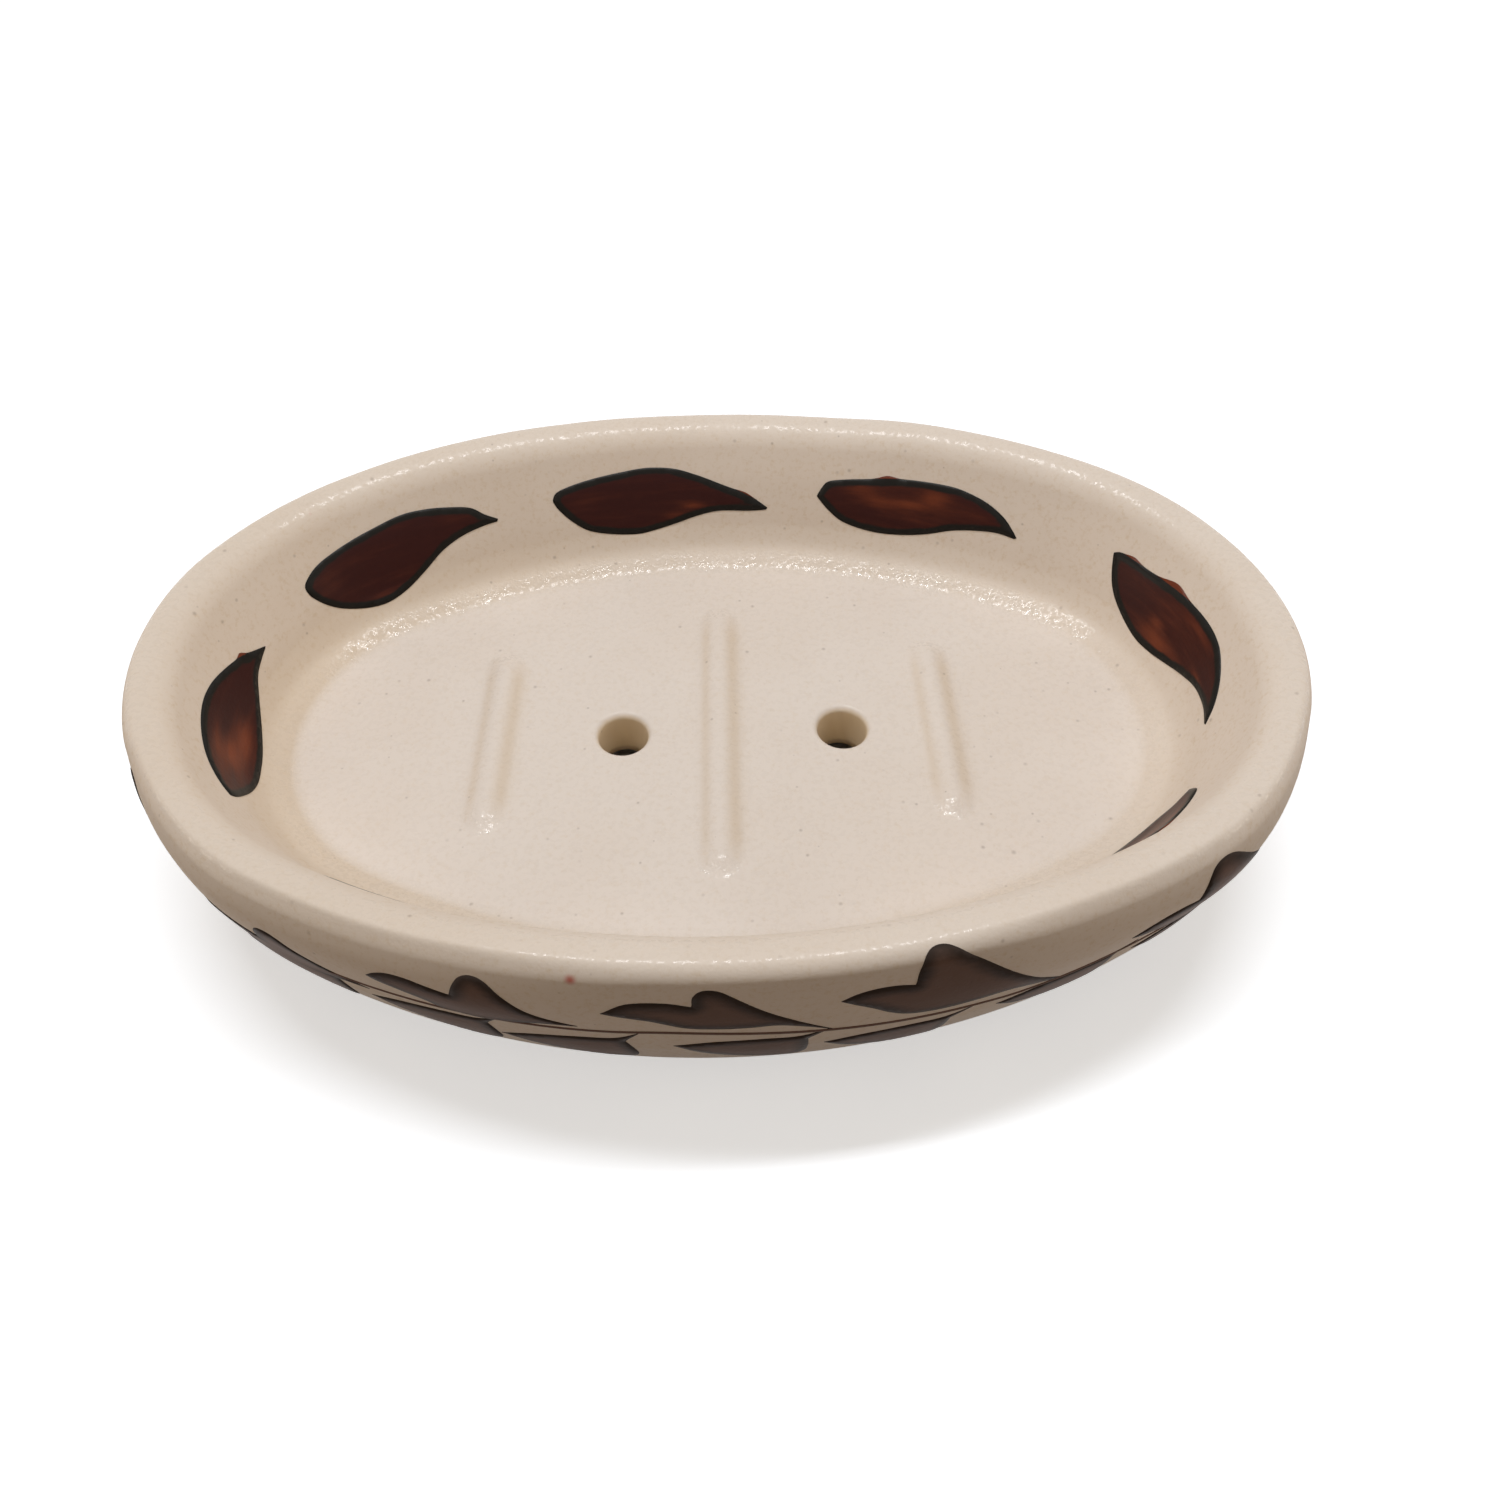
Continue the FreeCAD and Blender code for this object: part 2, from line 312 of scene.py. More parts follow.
iron_specks = bpy.data.node_groups.new("iron_specks", "ShaderNodeTree")
given, result = sockets(
    iron_specks,
    [("Specks per mm", "Float", 0.4), ("Share", "Float", 0.3), ("Size", "Float", 0.12)],
    [("Mask", "Float")],
)
inputs = {"Vector": object_mm(iron_specks), "Scale": given["Specks per mm"], "Randomness": 1.0}
cells = add(iron_specks, "ShaderNodeTexVoronoi", inputs).outputs
luck = add(iron_specks, "ShaderNodeSeparateColor", {0: cells["Color"]}).outputs
chosen = calc(iron_specks, "LESS_THAN", luck[0], given["Share"])
reach = calc(iron_specks, "MULTIPLY", given["Size"], luck[1])
dot = ramp(iron_specks, cells["Distance"], reach, 0.0)
feed(iron_specks, result["Mask"], calc(iron_specks, "MULTIPLY", dot, chosen))

brush_streaks = bpy.data.node_groups.new("brush_streaks", "ShaderNodeTree")
given, result = sockets(
    brush_streaks,
    [("Stroke", "Vector"), ("Streaks per mm", "Float", 0.8), ("Length", "Float", 6.0)],
    [("Streak", "Float")],
)
along, across, seed = split(brush_streaks, given["Stroke"])
stroke = vector(brush_streaks, calc(brush_streaks, "DIVIDE", along, given["Length"]), across, seed)
streak = noise(brush_streaks, stroke, given["Streaks per mm"], detail=3.0, roughness=0.6)
feed(brush_streaks, result["Streak"], streak)
print("node groups:", [made.name for made in bpy.data.node_groups])

# %% [markdown]
# ## Cream glaze
#
# The cream is a satin glaze over pale clay, softly mottled, with dark specks and two red dots on the rim.
# Beside the ribs it ran together and is thicker and yellower. Painted shade makes the right side of each
# rib line stronger and darkens and yellows the walls, their corner and the left end; down in the holes
# painted light makes it paler. On level ground it melted smoother than on the walls. Where the wall meets
# the floor, at the ends of the ribs and on the rim, small glassy spots turn each highlight into a row of
# sparks. The meshes carry all this as attributes: pooled glaze and painted shade, painted light in the
# holes, how level the clay lies and where it sparks. So the look follows the shape wherever it is seen from.

# %% Helpers for glazes
def colour(red, green, blue):
    """A screen colour, 0 to 255, as the linear colour that a shader takes."""
    shares = [v / 255 for v in (red, green, blue)]
    return [v / 12.92 if v <= 0.04045 else ((v + 0.055) / 1.055) ** 2.4 for v in shares] + [1]


def group(tree, node_tree, **values):
    """The outputs of a node group that is used with these values."""
    inputs = {name.replace("_", " "): value for name, value in values.items()}
    return add(tree, "ShaderNodeGroup", inputs, node_tree=node_tree).outputs


def attribute(tree, name, kind="Fac"):
    """A value that the mesh carries."""
    return add(tree, "ShaderNodeAttribute", attribute_name=name).outputs[kind]


def blend(tree, share, first, second):
    """Mixes two colours by a share of 0 to 1."""
    return add(tree, "ShaderNodeMix", {0: share, 6: first, 7: second}, data_type="RGBA").outputs[2]


def speckle(tree, base, per_mm, share, size, strength):
    """Burns specks of iron into a colour."""
    specks = group(tree, iron_specks, Specks_per_mm=per_mm, Share=share, Size=size)["Mask"]
    return blend(tree, calc(tree, "MULTIPLY", specks, strength), base, IRON)


def fire(material, base, roughness, height, depth, shine):
    """Ends a glaze: its colour, gloss and bump go into one Principled shader."""
    tree = material.node_tree
    bump = add(tree, "ShaderNodeBump", {"Strength": 1.0, "Distance": depth, "Height": height}).outputs[0]
    inputs = {"Base Color": base, "Roughness": roughness, "Normal": bump}
    shader = add(tree, "ShaderNodeBsdfPrincipled", inputs)
    shader.inputs["Specular IOR Level"].default_value = shine
    add(tree, "ShaderNodeOutputMaterial", {"Surface": shader.outputs[0]})
    return shader


IRON = colour(104, 80, 62)
print("glaze helpers ready")

# %% Cream glaze material
CREAM, CREAM_SHADE = colour(238, 228, 219), colour(236, 225, 215)
# the yellow of pooled glaze, also painted as shade on the walls and in the corner; a paler colour painted as
# light down the holes
CREAM_POOL_AND_SHADE, CREAM_HOLE_LIGHT = colour(198, 168, 118), colour(250, 233, 206)
RED = colour(196, 108, 96)
# place and radius in mm
RED_DOTS = (((-14.9, -42.2, 25.9), 0.80), ((-49.9, 24.4, 25.25), 0.50))
# the same glaze on upright walls and on level ground
UPRIGHT_MOTTLE, LEVEL_MOTTLE = 0.27, 0.13
UPRIGHT_ROUGHNESS, LEVEL_ROUGHNESS = 0.66, 0.50
UPRIGHT_RIPPLE, LEVEL_RIPPLE = 0.25, 0.85
# joints: their ripple, the fewest sparks in a calm stretch, and the coat on their glassy spots
JOINT_RIPPLE, FEWEST_SPARKS = 3.6, 0.35
JOINT_COAT, JOINT_COAT_ROUGHNESS = 0.12, 0.16
# what a glassy spot adds to the roughness, elsewhere and at a joint
SPOT_ROUGHNESS, JOINT_SPOT_ROUGHNESS = -0.24, -0.40

cream_glaze, tree = new_material("cream_glaze")
place = object_mm(tree)
skin = group(tree, glaze_ripple)
level = ramp(tree, attribute(tree, "level"), 0.66, 0.86)
mottle = ramp(tree, noise(tree, place, 1.5, roughness=0.7), 0.46, 0.8)
mottle = calc(tree, "MULTIPLY", mottle, between(tree, level, UPRIGHT_MOTTLE, LEVEL_MOTTLE))
base = blend(tree, ramp(tree, skin["Swell"], 0.40, 0.66), CREAM, CREAM_SHADE)
base = blend(tree, mottle, base, CREAM_POOL_AND_SHADE)
# pooled glaze beside the ribs, and painted shade on their right sides, on the walls, in the corner and
# towards the left end
base = blend(tree, attribute(tree, "pooled_and_shaded"), base, CREAM_POOL_AND_SHADE)
# painted light: paler down in the holes
base = blend(tree, attribute(tree, "painted_hole_light"), base, CREAM_HOLE_LIGHT)
base = speckle(tree, base, per_mm=0.60, share=0.42, size=0.24, strength=0.36)
base = speckle(tree, base, per_mm=0.16, share=0.10, size=0.085, strength=0.62)
for dot_place, radius in RED_DOTS:
    away = calc_vector(tree, "DISTANCE", place, dot_place)
    base = blend(tree, ramp(tree, away, radius, 0.0), base, RED)

lively = ramp(tree, noise(tree, place, 0.30, detail=1.0), 0.34, 0.52)
sparks = calc(tree, "MULTIPLY", attribute(tree, "joint"), between(tree, lively, FEWEST_SPARKS, 1.0))
spots = ramp(tree, noise(tree, place, 1.7, detail=1.0), 0.45, 0.58)
spots = calc(tree, "MULTIPLY", spots, level)
satin = between(tree, level, UPRIGHT_ROUGHNESS, LEVEL_ROUGHNESS)
glassy = between(tree, sparks, SPOT_ROUGHNESS, JOINT_SPOT_ROUGHNESS)
roughness = calc(tree, "MULTIPLY_ADD", spots, glassy, satin)
ripple = between(tree, level, UPRIGHT_RIPPLE, LEVEL_RIPPLE)
ripple = calc(tree, "MULTIPLY_ADD", sparks, JOINT_RIPPLE, ripple)
height = calc(tree, "MULTIPLY", skin["Height"], ripple)
shader = fire(cream_glaze, base, roughness, height, depth=0.015 * MM, shine=0.25)
feed(tree, shader.inputs["Coat Weight"], product(tree, spots, JOINT_COAT, sparks))
shader.inputs["Coat Roughness"].default_value = JOINT_COAT_ROUGHNESS
print("made", cream_glaze.name)

# %% [markdown]
# ## Brown leaf glaze
#
# Each inner leaf was drawn with a nearly black line and filled with a brown that is maroon where it lies
# thick and orange where the brush left it thin. In a few places the brown runs out over the line. The leaf
# meshes carry three attributes for this: "edge" is the distance in from the line, "thin" the thin places,
# and "stroke" runs along the brush.

# %% Brown leaf glaze material
LINE, MAROON = colour(30, 28, 25), colour(56, 24, 21)
RUST, SPILL = colour(134, 68, 42), colour(106, 50, 30)
# where the line gives way to the brown, in mm from the edge, and how much the hand wavered there
LINE_FROM, LINE_TO, LINE_WAVER = 0.95, 1.35, 0.5
STREAK_DEPTH = 0.275
# roughness across the streaks of a brushed glaze
BRUSHED = (0.25, 0.45)

brown_glaze, tree = new_material("brown_glaze")
skin = group(tree, glaze_ripple)
streak = group(tree, brush_streaks, Stroke=attribute(tree, "stroke", "Vector"))["Streak"]
edge = attribute(tree, "edge")
wavering = calc(tree, "MULTIPLY_ADD", noise(tree, object_mm(tree), 0.5), LINE_WAVER, edge)
thin = calc(tree, "ADD", attribute(tree, "thin"), between(tree, streak, -STREAK_DEPTH, STREAK_DEPTH))
base = blend(tree, ramp(tree, thin, -0.05, 1.0), MAROON, RUST)
base = blend(tree, ramp(tree, wavering, LINE_TO, LINE_FROM), base, LINE)
base = blend(tree, ramp(tree, edge, -0.02, -0.14), base, SPILL)
fire(brown_glaze, base, between(tree, streak, *BRUSHED), skin["Height"], depth=0.02 * MM, shine=0.11)
print("made", brown_glaze.name)

# %% [markdown]
# ## Vine wash
#
# The vine outside is a thinner, greyer brown. It gathers at the edge of each stroke, so edges are nearly
# black and the middle is a warm grey with streaks.

# %% Vine wash material
WASH, WASH_EDGE = colour(117, 95, 86), colour(64, 55, 51)
# the dark edge fades out between these distances in mm, and streaks push it back
EDGE_FROM, EDGE_TO, EDGE_STREAK = 0.9, 2.7, 1.4

vine_glaze, tree = new_material("vine_glaze")
skin = group(tree, glaze_ripple)
stroke = attribute(tree, "stroke", "Vector")
streak = group(tree, brush_streaks, Stroke=stroke, Streaks_per_mm=0.6, Length=4.0)["Streak"]
pushed = calc(tree, "MULTIPLY_ADD", streak, EDGE_STREAK, attribute(tree, "edge"))
base = blend(tree, ramp(tree, pushed, EDGE_TO, EDGE_FROM), WASH, WASH_EDGE)
fire(vine_glaze, base, between(tree, streak, *BRUSHED), skin["Height"], depth=0.03 * MM, shine=0.008)
print("made", vine_glaze.name)

# %% [markdown]
# ## Plan and section
#
# The plan is an oval of four arcs, and each line parallel to it is made of arcs as well. The section is
# drawn once, as the potter's rib would cut it: under the base, up the outer wall, over the lip, which turns
# crisply outside and rolls in softly, down the flared wall and round the corner to the floor. A finger
# smoothed the joint of wall and floor and left a faint wave there, which is why the light catches twice
# along that corner.

# %% Plan of the dish
# sizes in mm
LENGTH, WIDTH, END_RADIUS = 130.0, 87.0, 36.0
STATIONS = 480

side_radius = (LENGTH**2 / 4 + WIDTH**2 / 4 - LENGTH * END_RADIUS) / (WIDTH - 2 * END_RADIUS)
end_centre = LENGTH / 2 - END_RADIUS
side_centre = WIDTH / 2 - side_radius
meet = math.atan2(-side_centre, end_centre)
end_length = END_RADIUS * meet
side_length = side_radius * (math.pi / 2 - meet)
rim_length = 4 * (end_length + side_length)


def on_circle(centre, radius, angles):
    """Points of a circle at these angles."""
    return np.column_stack([centre[0] + radius * np.cos(angles), centre[1] + radius * np.sin(angles)])


def oval_line(inset):
    """Points round the oval in mm, counter-clockwise from +X, that far inside the rim."""
    in_quarter = STATIONS // 4
    on_end = round(in_quarter * end_length / (end_length + side_length))
    end_turn = np.linspace(0, meet, on_end, endpoint=False)
    side_turn = np.linspace(meet, math.pi / 2, in_quarter - on_end, endpoint=False)
    end_arc = on_circle((end_centre, 0), END_RADIUS - inset, end_turn)
    side_arc = on_circle((0, side_centre), side_radius - inset, side_turn)
    quarter = np.vstack([end_arc, side_arc, [[0, WIDTH / 2 - inset]]])
    back = np.vstack([quarter, quarter[-2:0:-1] * (-1, 1)])
    return np.vstack([back, -back])


print("rim:", round(rim_length, 1), "mm round")

# %% Section of the dish
HEIGHT, FOOT_TOP, FLOOR_TOP = 27.0, 4.2, 10.2
# the lip is drawn round one radius, and rubbed to a smaller one outside and a larger one inside
LIP_RADIUS, LIP_OUTER = 2.75, 1.8
CORNER_RADIUS, WALL_LEAN, JOINT_WAVE = 7.0, math.radians(22), 0.065
BASE_INSET, BASE_ROUND, FLOOR_MARGIN = 3.9, 2.5, 0.6


def arc(centre, radius, start, end, steps):
    """Points of an arc in the section plane: x outward from the rim's edge, z up."""
    return on_circle(centre, radius, np.linspace(start, end, steps))


facing = math.pi - WALL_LEAN
wall_facing = np.array([math.cos(facing), math.sin(facing)])
lip_centre = np.array([-LIP_RADIUS, HEIGHT - LIP_RADIUS])
wall_top = lip_centre + LIP_RADIUS * wall_facing
spread = (1 - math.sin(WALL_LEAN)) / math.cos(WALL_LEAN)
lip_inner = LIP_RADIUS + (LIP_RADIUS - LIP_OUTER) / spread
outer_lip = arc((-LIP_OUTER, HEIGHT - LIP_OUTER), LIP_OUTER, 0, math.pi / 2, steps=14)
inner_lip = arc((-LIP_OUTER, HEIGHT - lip_inner), lip_inner, math.pi / 2, facing, steps=22)

drop = wall_top[1] - FLOOR_TOP - CORNER_RADIUS * (1 - math.sin(WALL_LEAN))
wall_foot = wall_top - np.array([math.tan(WALL_LEAN) * drop, drop])
inner_wall = np.linspace(inner_lip[-1], wall_foot, 16)
corner_centre = wall_foot + CORNER_RADIUS * wall_facing
corner = arc(corner_centre, CORNER_RADIUS, -WALL_LEAN, -math.pi / 2, steps=40)
along = np.linspace(0, 1, len(corner))
wave = JOINT_WAVE * np.sin(4 * math.pi * along) * np.sin(math.pi * along)
waved_corner = corner + wave[:, None] * (corner_centre - corner) / CORNER_RADIUS
floor_edge = corner[-1] - (FLOOR_MARGIN, 0)

outer_drop = lip_centre[1] - FOOT_TOP
outer_radius = (outer_drop**2 + BASE_INSET**2) / (2 * BASE_INSET)
round_drop = outer_drop - BASE_ROUND
round_reach = math.sqrt((outer_radius - BASE_ROUND) ** 2 - round_drop**2)
round_centre = (round_reach - outer_radius, lip_centre[1] - round_drop)
round_start = math.atan2(-round_drop, round_reach)
base_round = arc(round_centre, BASE_ROUND, -math.pi / 2, round_start, steps=14)
outer_wall = arc((-outer_radius, lip_centre[1]), outer_radius, round_start, 0, steps=30)
under = np.linspace((floor_edge[0], FOOT_TOP), base_round[0], 12)

outside = [under, base_round[1:], outer_wall[1:], outer_lip]
section = np.vstack([*outside, inner_lip[1:], inner_wall[1:], waved_corner[1:], [floor_edge]])
print("section points:", len(section), "floor starts", round(-floor_edge[0], 2), "mm inside the rim")

# %% [markdown]
# ## Running a tree and keeping its mesh
#
# A geometry tree is run by putting it on an object as a modifier. Its inputs are set by their identifiers,
# and the result is kept as a plain mesh, since an export knows nothing of modifiers. Curves serve only as
# guides, so they are removed at the end.

# %% Guides
guides = []


def guide(name, points, closed=False):
    """A curve through plain points, in mm, that trees can read."""
    data = bpy.data.curves.new(name, "CURVE")
    data.dimensions = "3D"
    data.twist_mode = "Z_UP"
    spline = data.splines.new("POLY")
    spline.points.add(len(points) - 1)
    flat = np.column_stack([np.asarray(points, float) * MM, np.ones(len(points))])
    spline.points.foreach_set("co", flat.ravel())
    spline.use_cyclic_u = closed
    made = bpy.data.objects.new(name, data)
    scene.collection.objects.link(made)
    guides.append(made)
    return made


def oval_guide(name, inset):
    """A line round the dish, that far inside the rim."""
    return guide(name, np.column_stack([oval_line(inset), np.zeros(STATIONS)]), closed=True)


def flat_guide(name, points, inset=0.0):
    """A section as a sweep wants it: x is outward from the line that carries it and y is down."""
    return guide(name, np.column_stack([points[:, 0] + inset, -points[:, 1], np.zeros(len(points))]))


rim_guide = oval_guide("rim_guide", 0.0)
section_guide = flat_guide("section_guide", section)
print("guides:", [made.name for made in guides])

# %% How a tree is made and run
def geometry_tree(name, inputs):
    """A tree that takes geometry, these inputs and a glaze, with its input and output sockets."""
    made = bpy.data.node_groups.new(name, "GeometryNodeTree")
    all_inputs = [("Geometry", "Geometry"), *inputs, ("Glaze", "Material")]
    given, result = sockets(made, all_inputs, [("Geometry", "Geometry")])
    return made, given, result


def shape_of(tree, source):
    """The geometry of an object that a tree was given."""
    return add(tree, "GeometryNodeObjectInfo", {"Object": source}).outputs["Geometry"]


def end_tree(tree, geometry, given, result):
    """Ends a tree as all of them end: copies become real, and all of it takes the glaze."""
    real = add(tree, "GeometryNodeRealizeInstances", {"Geometry": geometry}).outputs[0]
    glazed = add(tree, "GeometryNodeSetMaterial", {"Geometry": real, "Material": given["Glaze"]}).outputs[0]
    feed(tree, result["Geometry"], glazed)
    print("tree", tree.name, "has", len(tree.nodes), "nodes")


def run_tree(source, tree, name, values):
    """Runs a tree on an object, and gives a new object with the plain mesh that came out."""
    modifier = source.modifiers.new(tree.name, "NODES")
    modifier.node_group = tree
    for item in tree.interface.items_tree:
        if item.in_out == "INPUT" and item.name in values:
            modifier[item.identifier] = values[item.name]
    graph = bpy.context.evaluated_depsgraph_get()
    mesh = bpy.data.meshes.new_from_object(source.evaluated_get(graph), depsgraph=graph)
    source.modifiers.remove(modifier)
    mesh.name = name
    made = bpy.data.objects.new(name, mesh)
    scene.collection.objects.link(made)
    return made


print("trees can run")

# %% [markdown]
# ## The wall, swept round the rim
#
# The wall has the same section all the way round, so Curve to Mesh sweeps it along the rim. A lathe would
# not do, because the plan is an oval, and a scaled lathe would make the wall thicker at the ends than at
# the sides.

# %% Sweep the wall
def coordinates(mesh):
    """The places of a mesh's vertices, in metres."""
    flat = np.zeros(len(mesh.vertices) * 3)
    mesh.vertices.foreach_get("co", flat)
    return flat.reshape(-1, 3)


sweep, given, result = geometry_tree("sweep_round_rim", [("Section", "Object")])
inputs = {"Curve": given["Geometry"], "Profile Curve": shape_of(sweep, given["Section"])}
swept = add(sweep, "GeometryNodeCurveToMesh", inputs).outputs[0]
smooth = add(sweep, "GeometryNodeSetShadeSmooth", {"Geometry": swept}).outputs[0]
end_tree(sweep, smooth, given, result)

wall = run_tree(rim_guide, sweep, "wall", {"Section": section_guide, "Glaze": cream_glaze})
wall_points = coordinates(wall.data).reshape(STATIONS, len(section), 3) / MM
print("wall from", wall_points.min((0, 1)).round(2), "to", wall_points.max((0, 1)).round(2), "mm")

# %% [markdown]
# ## Floor with its drain holes
#
# The floor is flat, with an oval edge and two round holes whose mouths the potter softened with a wet
# finger. A boolean would leave long thin triangles. Here an even net of points is joined up by a Delaunay
# triangulation that keeps the outlines, and the hole walls are rings between the upper and the lower net.

# %% Helpers for flat nets
# shares of a net's spacing: from row to row, and from its outlines to the nearest points
ROW_SHARE, CLEAR_SHARE = 0.866, 0.55


def inside(points, outline):
    """Which points lie inside a closed outline."""
    a, b = outline, np.roll(outline, -1, axis=0)
    x, y = points[:, 0, None], points[:, 1, None]
    across = (a[:, 1] > y) != (b[:, 1] > y)
    rise = np.where(b[:, 1] == a[:, 1], 1e-12, b[:, 1] - a[:, 1])
    reached = x < a[:, 0] + (y - a[:, 1]) * (b[:, 0] - a[:, 0]) / rise
    return (across & reached).sum(1) % 2 == 1


def distance_to(points, outline):
    """Distance of points to a closed outline."""
    a = outline[None]
    run = np.roll(outline, -1, axis=0)[None] - a
    share = ((points[:, None] - a) * run).sum(-1) / np.maximum((run**2).sum(-1), 1e-12)
    nearest = a + np.clip(share, 0, 1)[..., None] * run
    return np.linalg.norm(points[:, None] - nearest, axis=-1).min(1)


def net(outline, spacing, holes=()):
    """Even triangles inside an outline and outside its holes: points and faces."""
    low, high = outline.min(0), outline.max(0)
    rows = []
    for index, y in enumerate(np.arange(low[1], high[1], spacing * ROW_SHARE)):
        xs = np.arange(low[0] + (index % 2) * spacing / 2, high[0], spacing)
        rows.append(np.column_stack([xs, np.full(len(xs), y)]))
    grid = np.vstack(rows)
    grid = grid[inside(grid, outline)]
    loops = [outline, *holes]
    for loop in loops:
        grid = grid[distance_to(grid, loop) > spacing * CLEAR_SHARE]
    for hole in holes:
        grid = grid[~inside(grid, hole)]
    edges, start = [], 0
    for loop in loops:
        count = len(loop)
        edges += [(start + i, start + (i + 1) % count) for i in range(count)]
        start += count
    made = delaunay_2d_cdt([Vector(p) for p in np.vstack([*loops, grid])], edges, [], 0, 1e-7)
    points = np.array([tuple(p) for p in made[0]])
    faces = np.array([tuple(f) for f in made[2]])
    middle = points[faces].mean(1)
    keep = inside(middle, outline)
    for hole in holes:
        keep &= ~inside(middle, hole)
    return points, faces[keep]


print("nets ready")

# %% Floor and drain holes
HOLES = ((-11.75, 0.0), (14.75, 0.0))
# radius of a hole above and below, the rounding of its mouth, and the height where it runs straight
HOLE_RADIUS, HOLE_BOTTOM, MOUTH, HOLE_STRAIGHT = 3.0, 2.6, 0.8, 8.6
HOLE_STEPS, MOUTH_RINGS, HOLE_RINGS = 56, 6, 6
FLOOR_SPACING, UNDER_SPACING = 1.3, 2.2


def circle(centre, radius):
    """The outline of a hole."""
    return on_circle(centre, radius, np.arange(HOLE_STEPS) / HOLE_STEPS * 2 * math.pi)


edge_loop = wall_points[:, -1, :2]
upper, upper_faces = net(edge_loop, FLOOR_SPACING, [circle(hole, HOLE_RADIUS + MOUTH) for hole in HOLES])
lower, lower_faces = net(edge_loop, UNDER_SPACING, [circle(hole, HOLE_BOTTOM) for hole in HOLES])
vertices = [np.column_stack([upper, np.full(len(upper), FLOOR_TOP)])]
vertices.append(np.column_stack([lower, np.full(len(lower), FOOT_TOP)]))
faces = [tuple(f) for f in upper_faces] + [tuple(f[::-1] + len(upper)) for f in lower_faces]

# radius and height of each ring down a hole
hole_line = []
for angle in np.linspace(0, math.pi / 2, MOUTH_RINGS):
    radius = HOLE_RADIUS + MOUTH - MOUTH * math.sin(angle)
    hole_line.append((radius, FLOOR_TOP - MOUTH * (1 - math.cos(angle))))
hole_line += np.linspace((HOLE_RADIUS, HOLE_STRAIGHT), (HOLE_BOTTOM, FOOT_TOP), HOLE_RINGS).tolist()

start = len(upper) + len(lower)
for hole in HOLES:
    rings = [np.column_stack([circle(hole, r), np.full(HOLE_STEPS, z)]) for r, z in hole_line]
    vertices += rings
    end = start + HOLE_STEPS * len(rings)
    for first in range(start, end - HOLE_STEPS, HOLE_STEPS):
        for i in range(HOLE_STEPS):
            a, b = first + i, first + (i + 1) % HOLE_STEPS
            faces.append((a, a + HOLE_STEPS, b + HOLE_STEPS, b))
    start = end
floor = plain_object("floor", np.vstack(vertices) * MM, faces)
print("floor:", len(faces), "faces")

# %% Body: wall and floor in one skin
joined = bmesh.new()
joined.from_mesh(wall.data)
joined.from_mesh(floor.data)
bmesh.ops.remove_doubles(joined, verts=joined.verts, dist=0.002 * MM)
bmesh.ops.recalc_face_normals(joined, faces=joined.faces)
open_edges = sum(1 for e in joined.edges if len(e.link_faces) != 2)
volume = joined.calc_volume(signed=True) / MM**3
body_mesh = bpy.data.meshes.new("dish_body")
joined.to_mesh(body_mesh)
joined.free()
for old in (wall, floor):
    bpy.data.objects.remove(old)
body_rough = bpy.data.objects.new("body_rough", body_mesh)
scene.collection.objects.link(body_rough)
body_mesh.shade_smooth()
print("body:", len(body_mesh.polygons), "faces,", open_edges, "open edges,", round(volume), "cubic mm")

# %% [markdown]
# ## Pooled glaze, painted shade and painted light
#
# Glaze runs into low places while it melts, so it gathers beside the ribs. A few distances say where the
# colour changes: to the sides of a rib, to the corner where floor and wall meet, and to the inside of a
# hole. The right side of each rib line is partly painted shade, the walls, their corner and the left end
# are darkened with painted shade, and the holes are paled with painted light. All of it is worked out once
# for each vertex and kept on the mesh for the cream glaze, with "joint" where it sparks and "level" for
# how level the clay lies.

# %% Ribs, and helpers for values on a mesh
# each rib's middle, length and slant; the hand set none of them quite straight
RIBS = {
    "soap_rib_left": (-27.0, 28.2, 0.043),
    "soap_rib_centre": (-0.1, 42.2, 0.032),
    "soap_rib_right": (26.5, 28.2, 0.014),
}
RIB_HALF_WIDTH = 2.0
# the lines of glaze beside a rib: how far from its middle, and how strong and wide on each side;
# the stronger, wider right line is partly painted shade
LINE_AWAY = 1.7
LEFT_STRENGTH, RIGHT_STRENGTH = 0.20, 0.30
LEFT_WIDTH, RIGHT_WIDTH = 0.55, 0.90


def step(values, start, end):
    """0 at start and 1 at end, straight between; start may be the larger."""
    return np.clip((values - start) / (end - start), 0, 1)


def bell(distance, width):
    """1 at no distance, and next to nothing beyond two widths."""
    return np.exp(-((distance / width) ** 2))


def rib_lines_and_shade(points, x, length, slant):
    """Glaze along both sides of a rib, fading at its ends; painted shade makes the right side stronger."""
    middle = x + slant * points[:, 1]
    along = np.abs(points[:, 1])
    past_end = np.maximum(along - (length / 2 - RIB_HALF_WIDTH), 0)
    away = np.hypot(points[:, 0] - middle, past_end)
    right = points[:, 0] > middle
    strength = np.where(right, RIGHT_STRENGTH, LEFT_STRENGTH)
    width = np.where(right, RIGHT_WIDTH, LEFT_WIDTH)
    fade = step(along, length / 2 - 1, length / 2 - 5)
    return strength * bell(away - LINE_AWAY, width) * fade


def levelness(mesh):
    """How level each vertex lies: 1 for a top side, 0 for an upright wall, -1 for an underside."""
    flat = np.zeros(len(mesh.vertices) * 3)
    mesh.vertices.foreach_get("normal", flat)
    return flat[2::3]


def store(mesh, name, values, kind="FLOAT"):
    """Keeps one value per vertex on the mesh, for the materials."""
    layer = mesh.attributes.new(name, kind, "POINT")
    field = "vector" if kind == "FLOAT_VECTOR" else "value"
    layer.data.foreach_set(field, np.asarray(values, np.int32 if kind == "INT" else np.float32).ravel())


print("ribs:", len(RIBS))

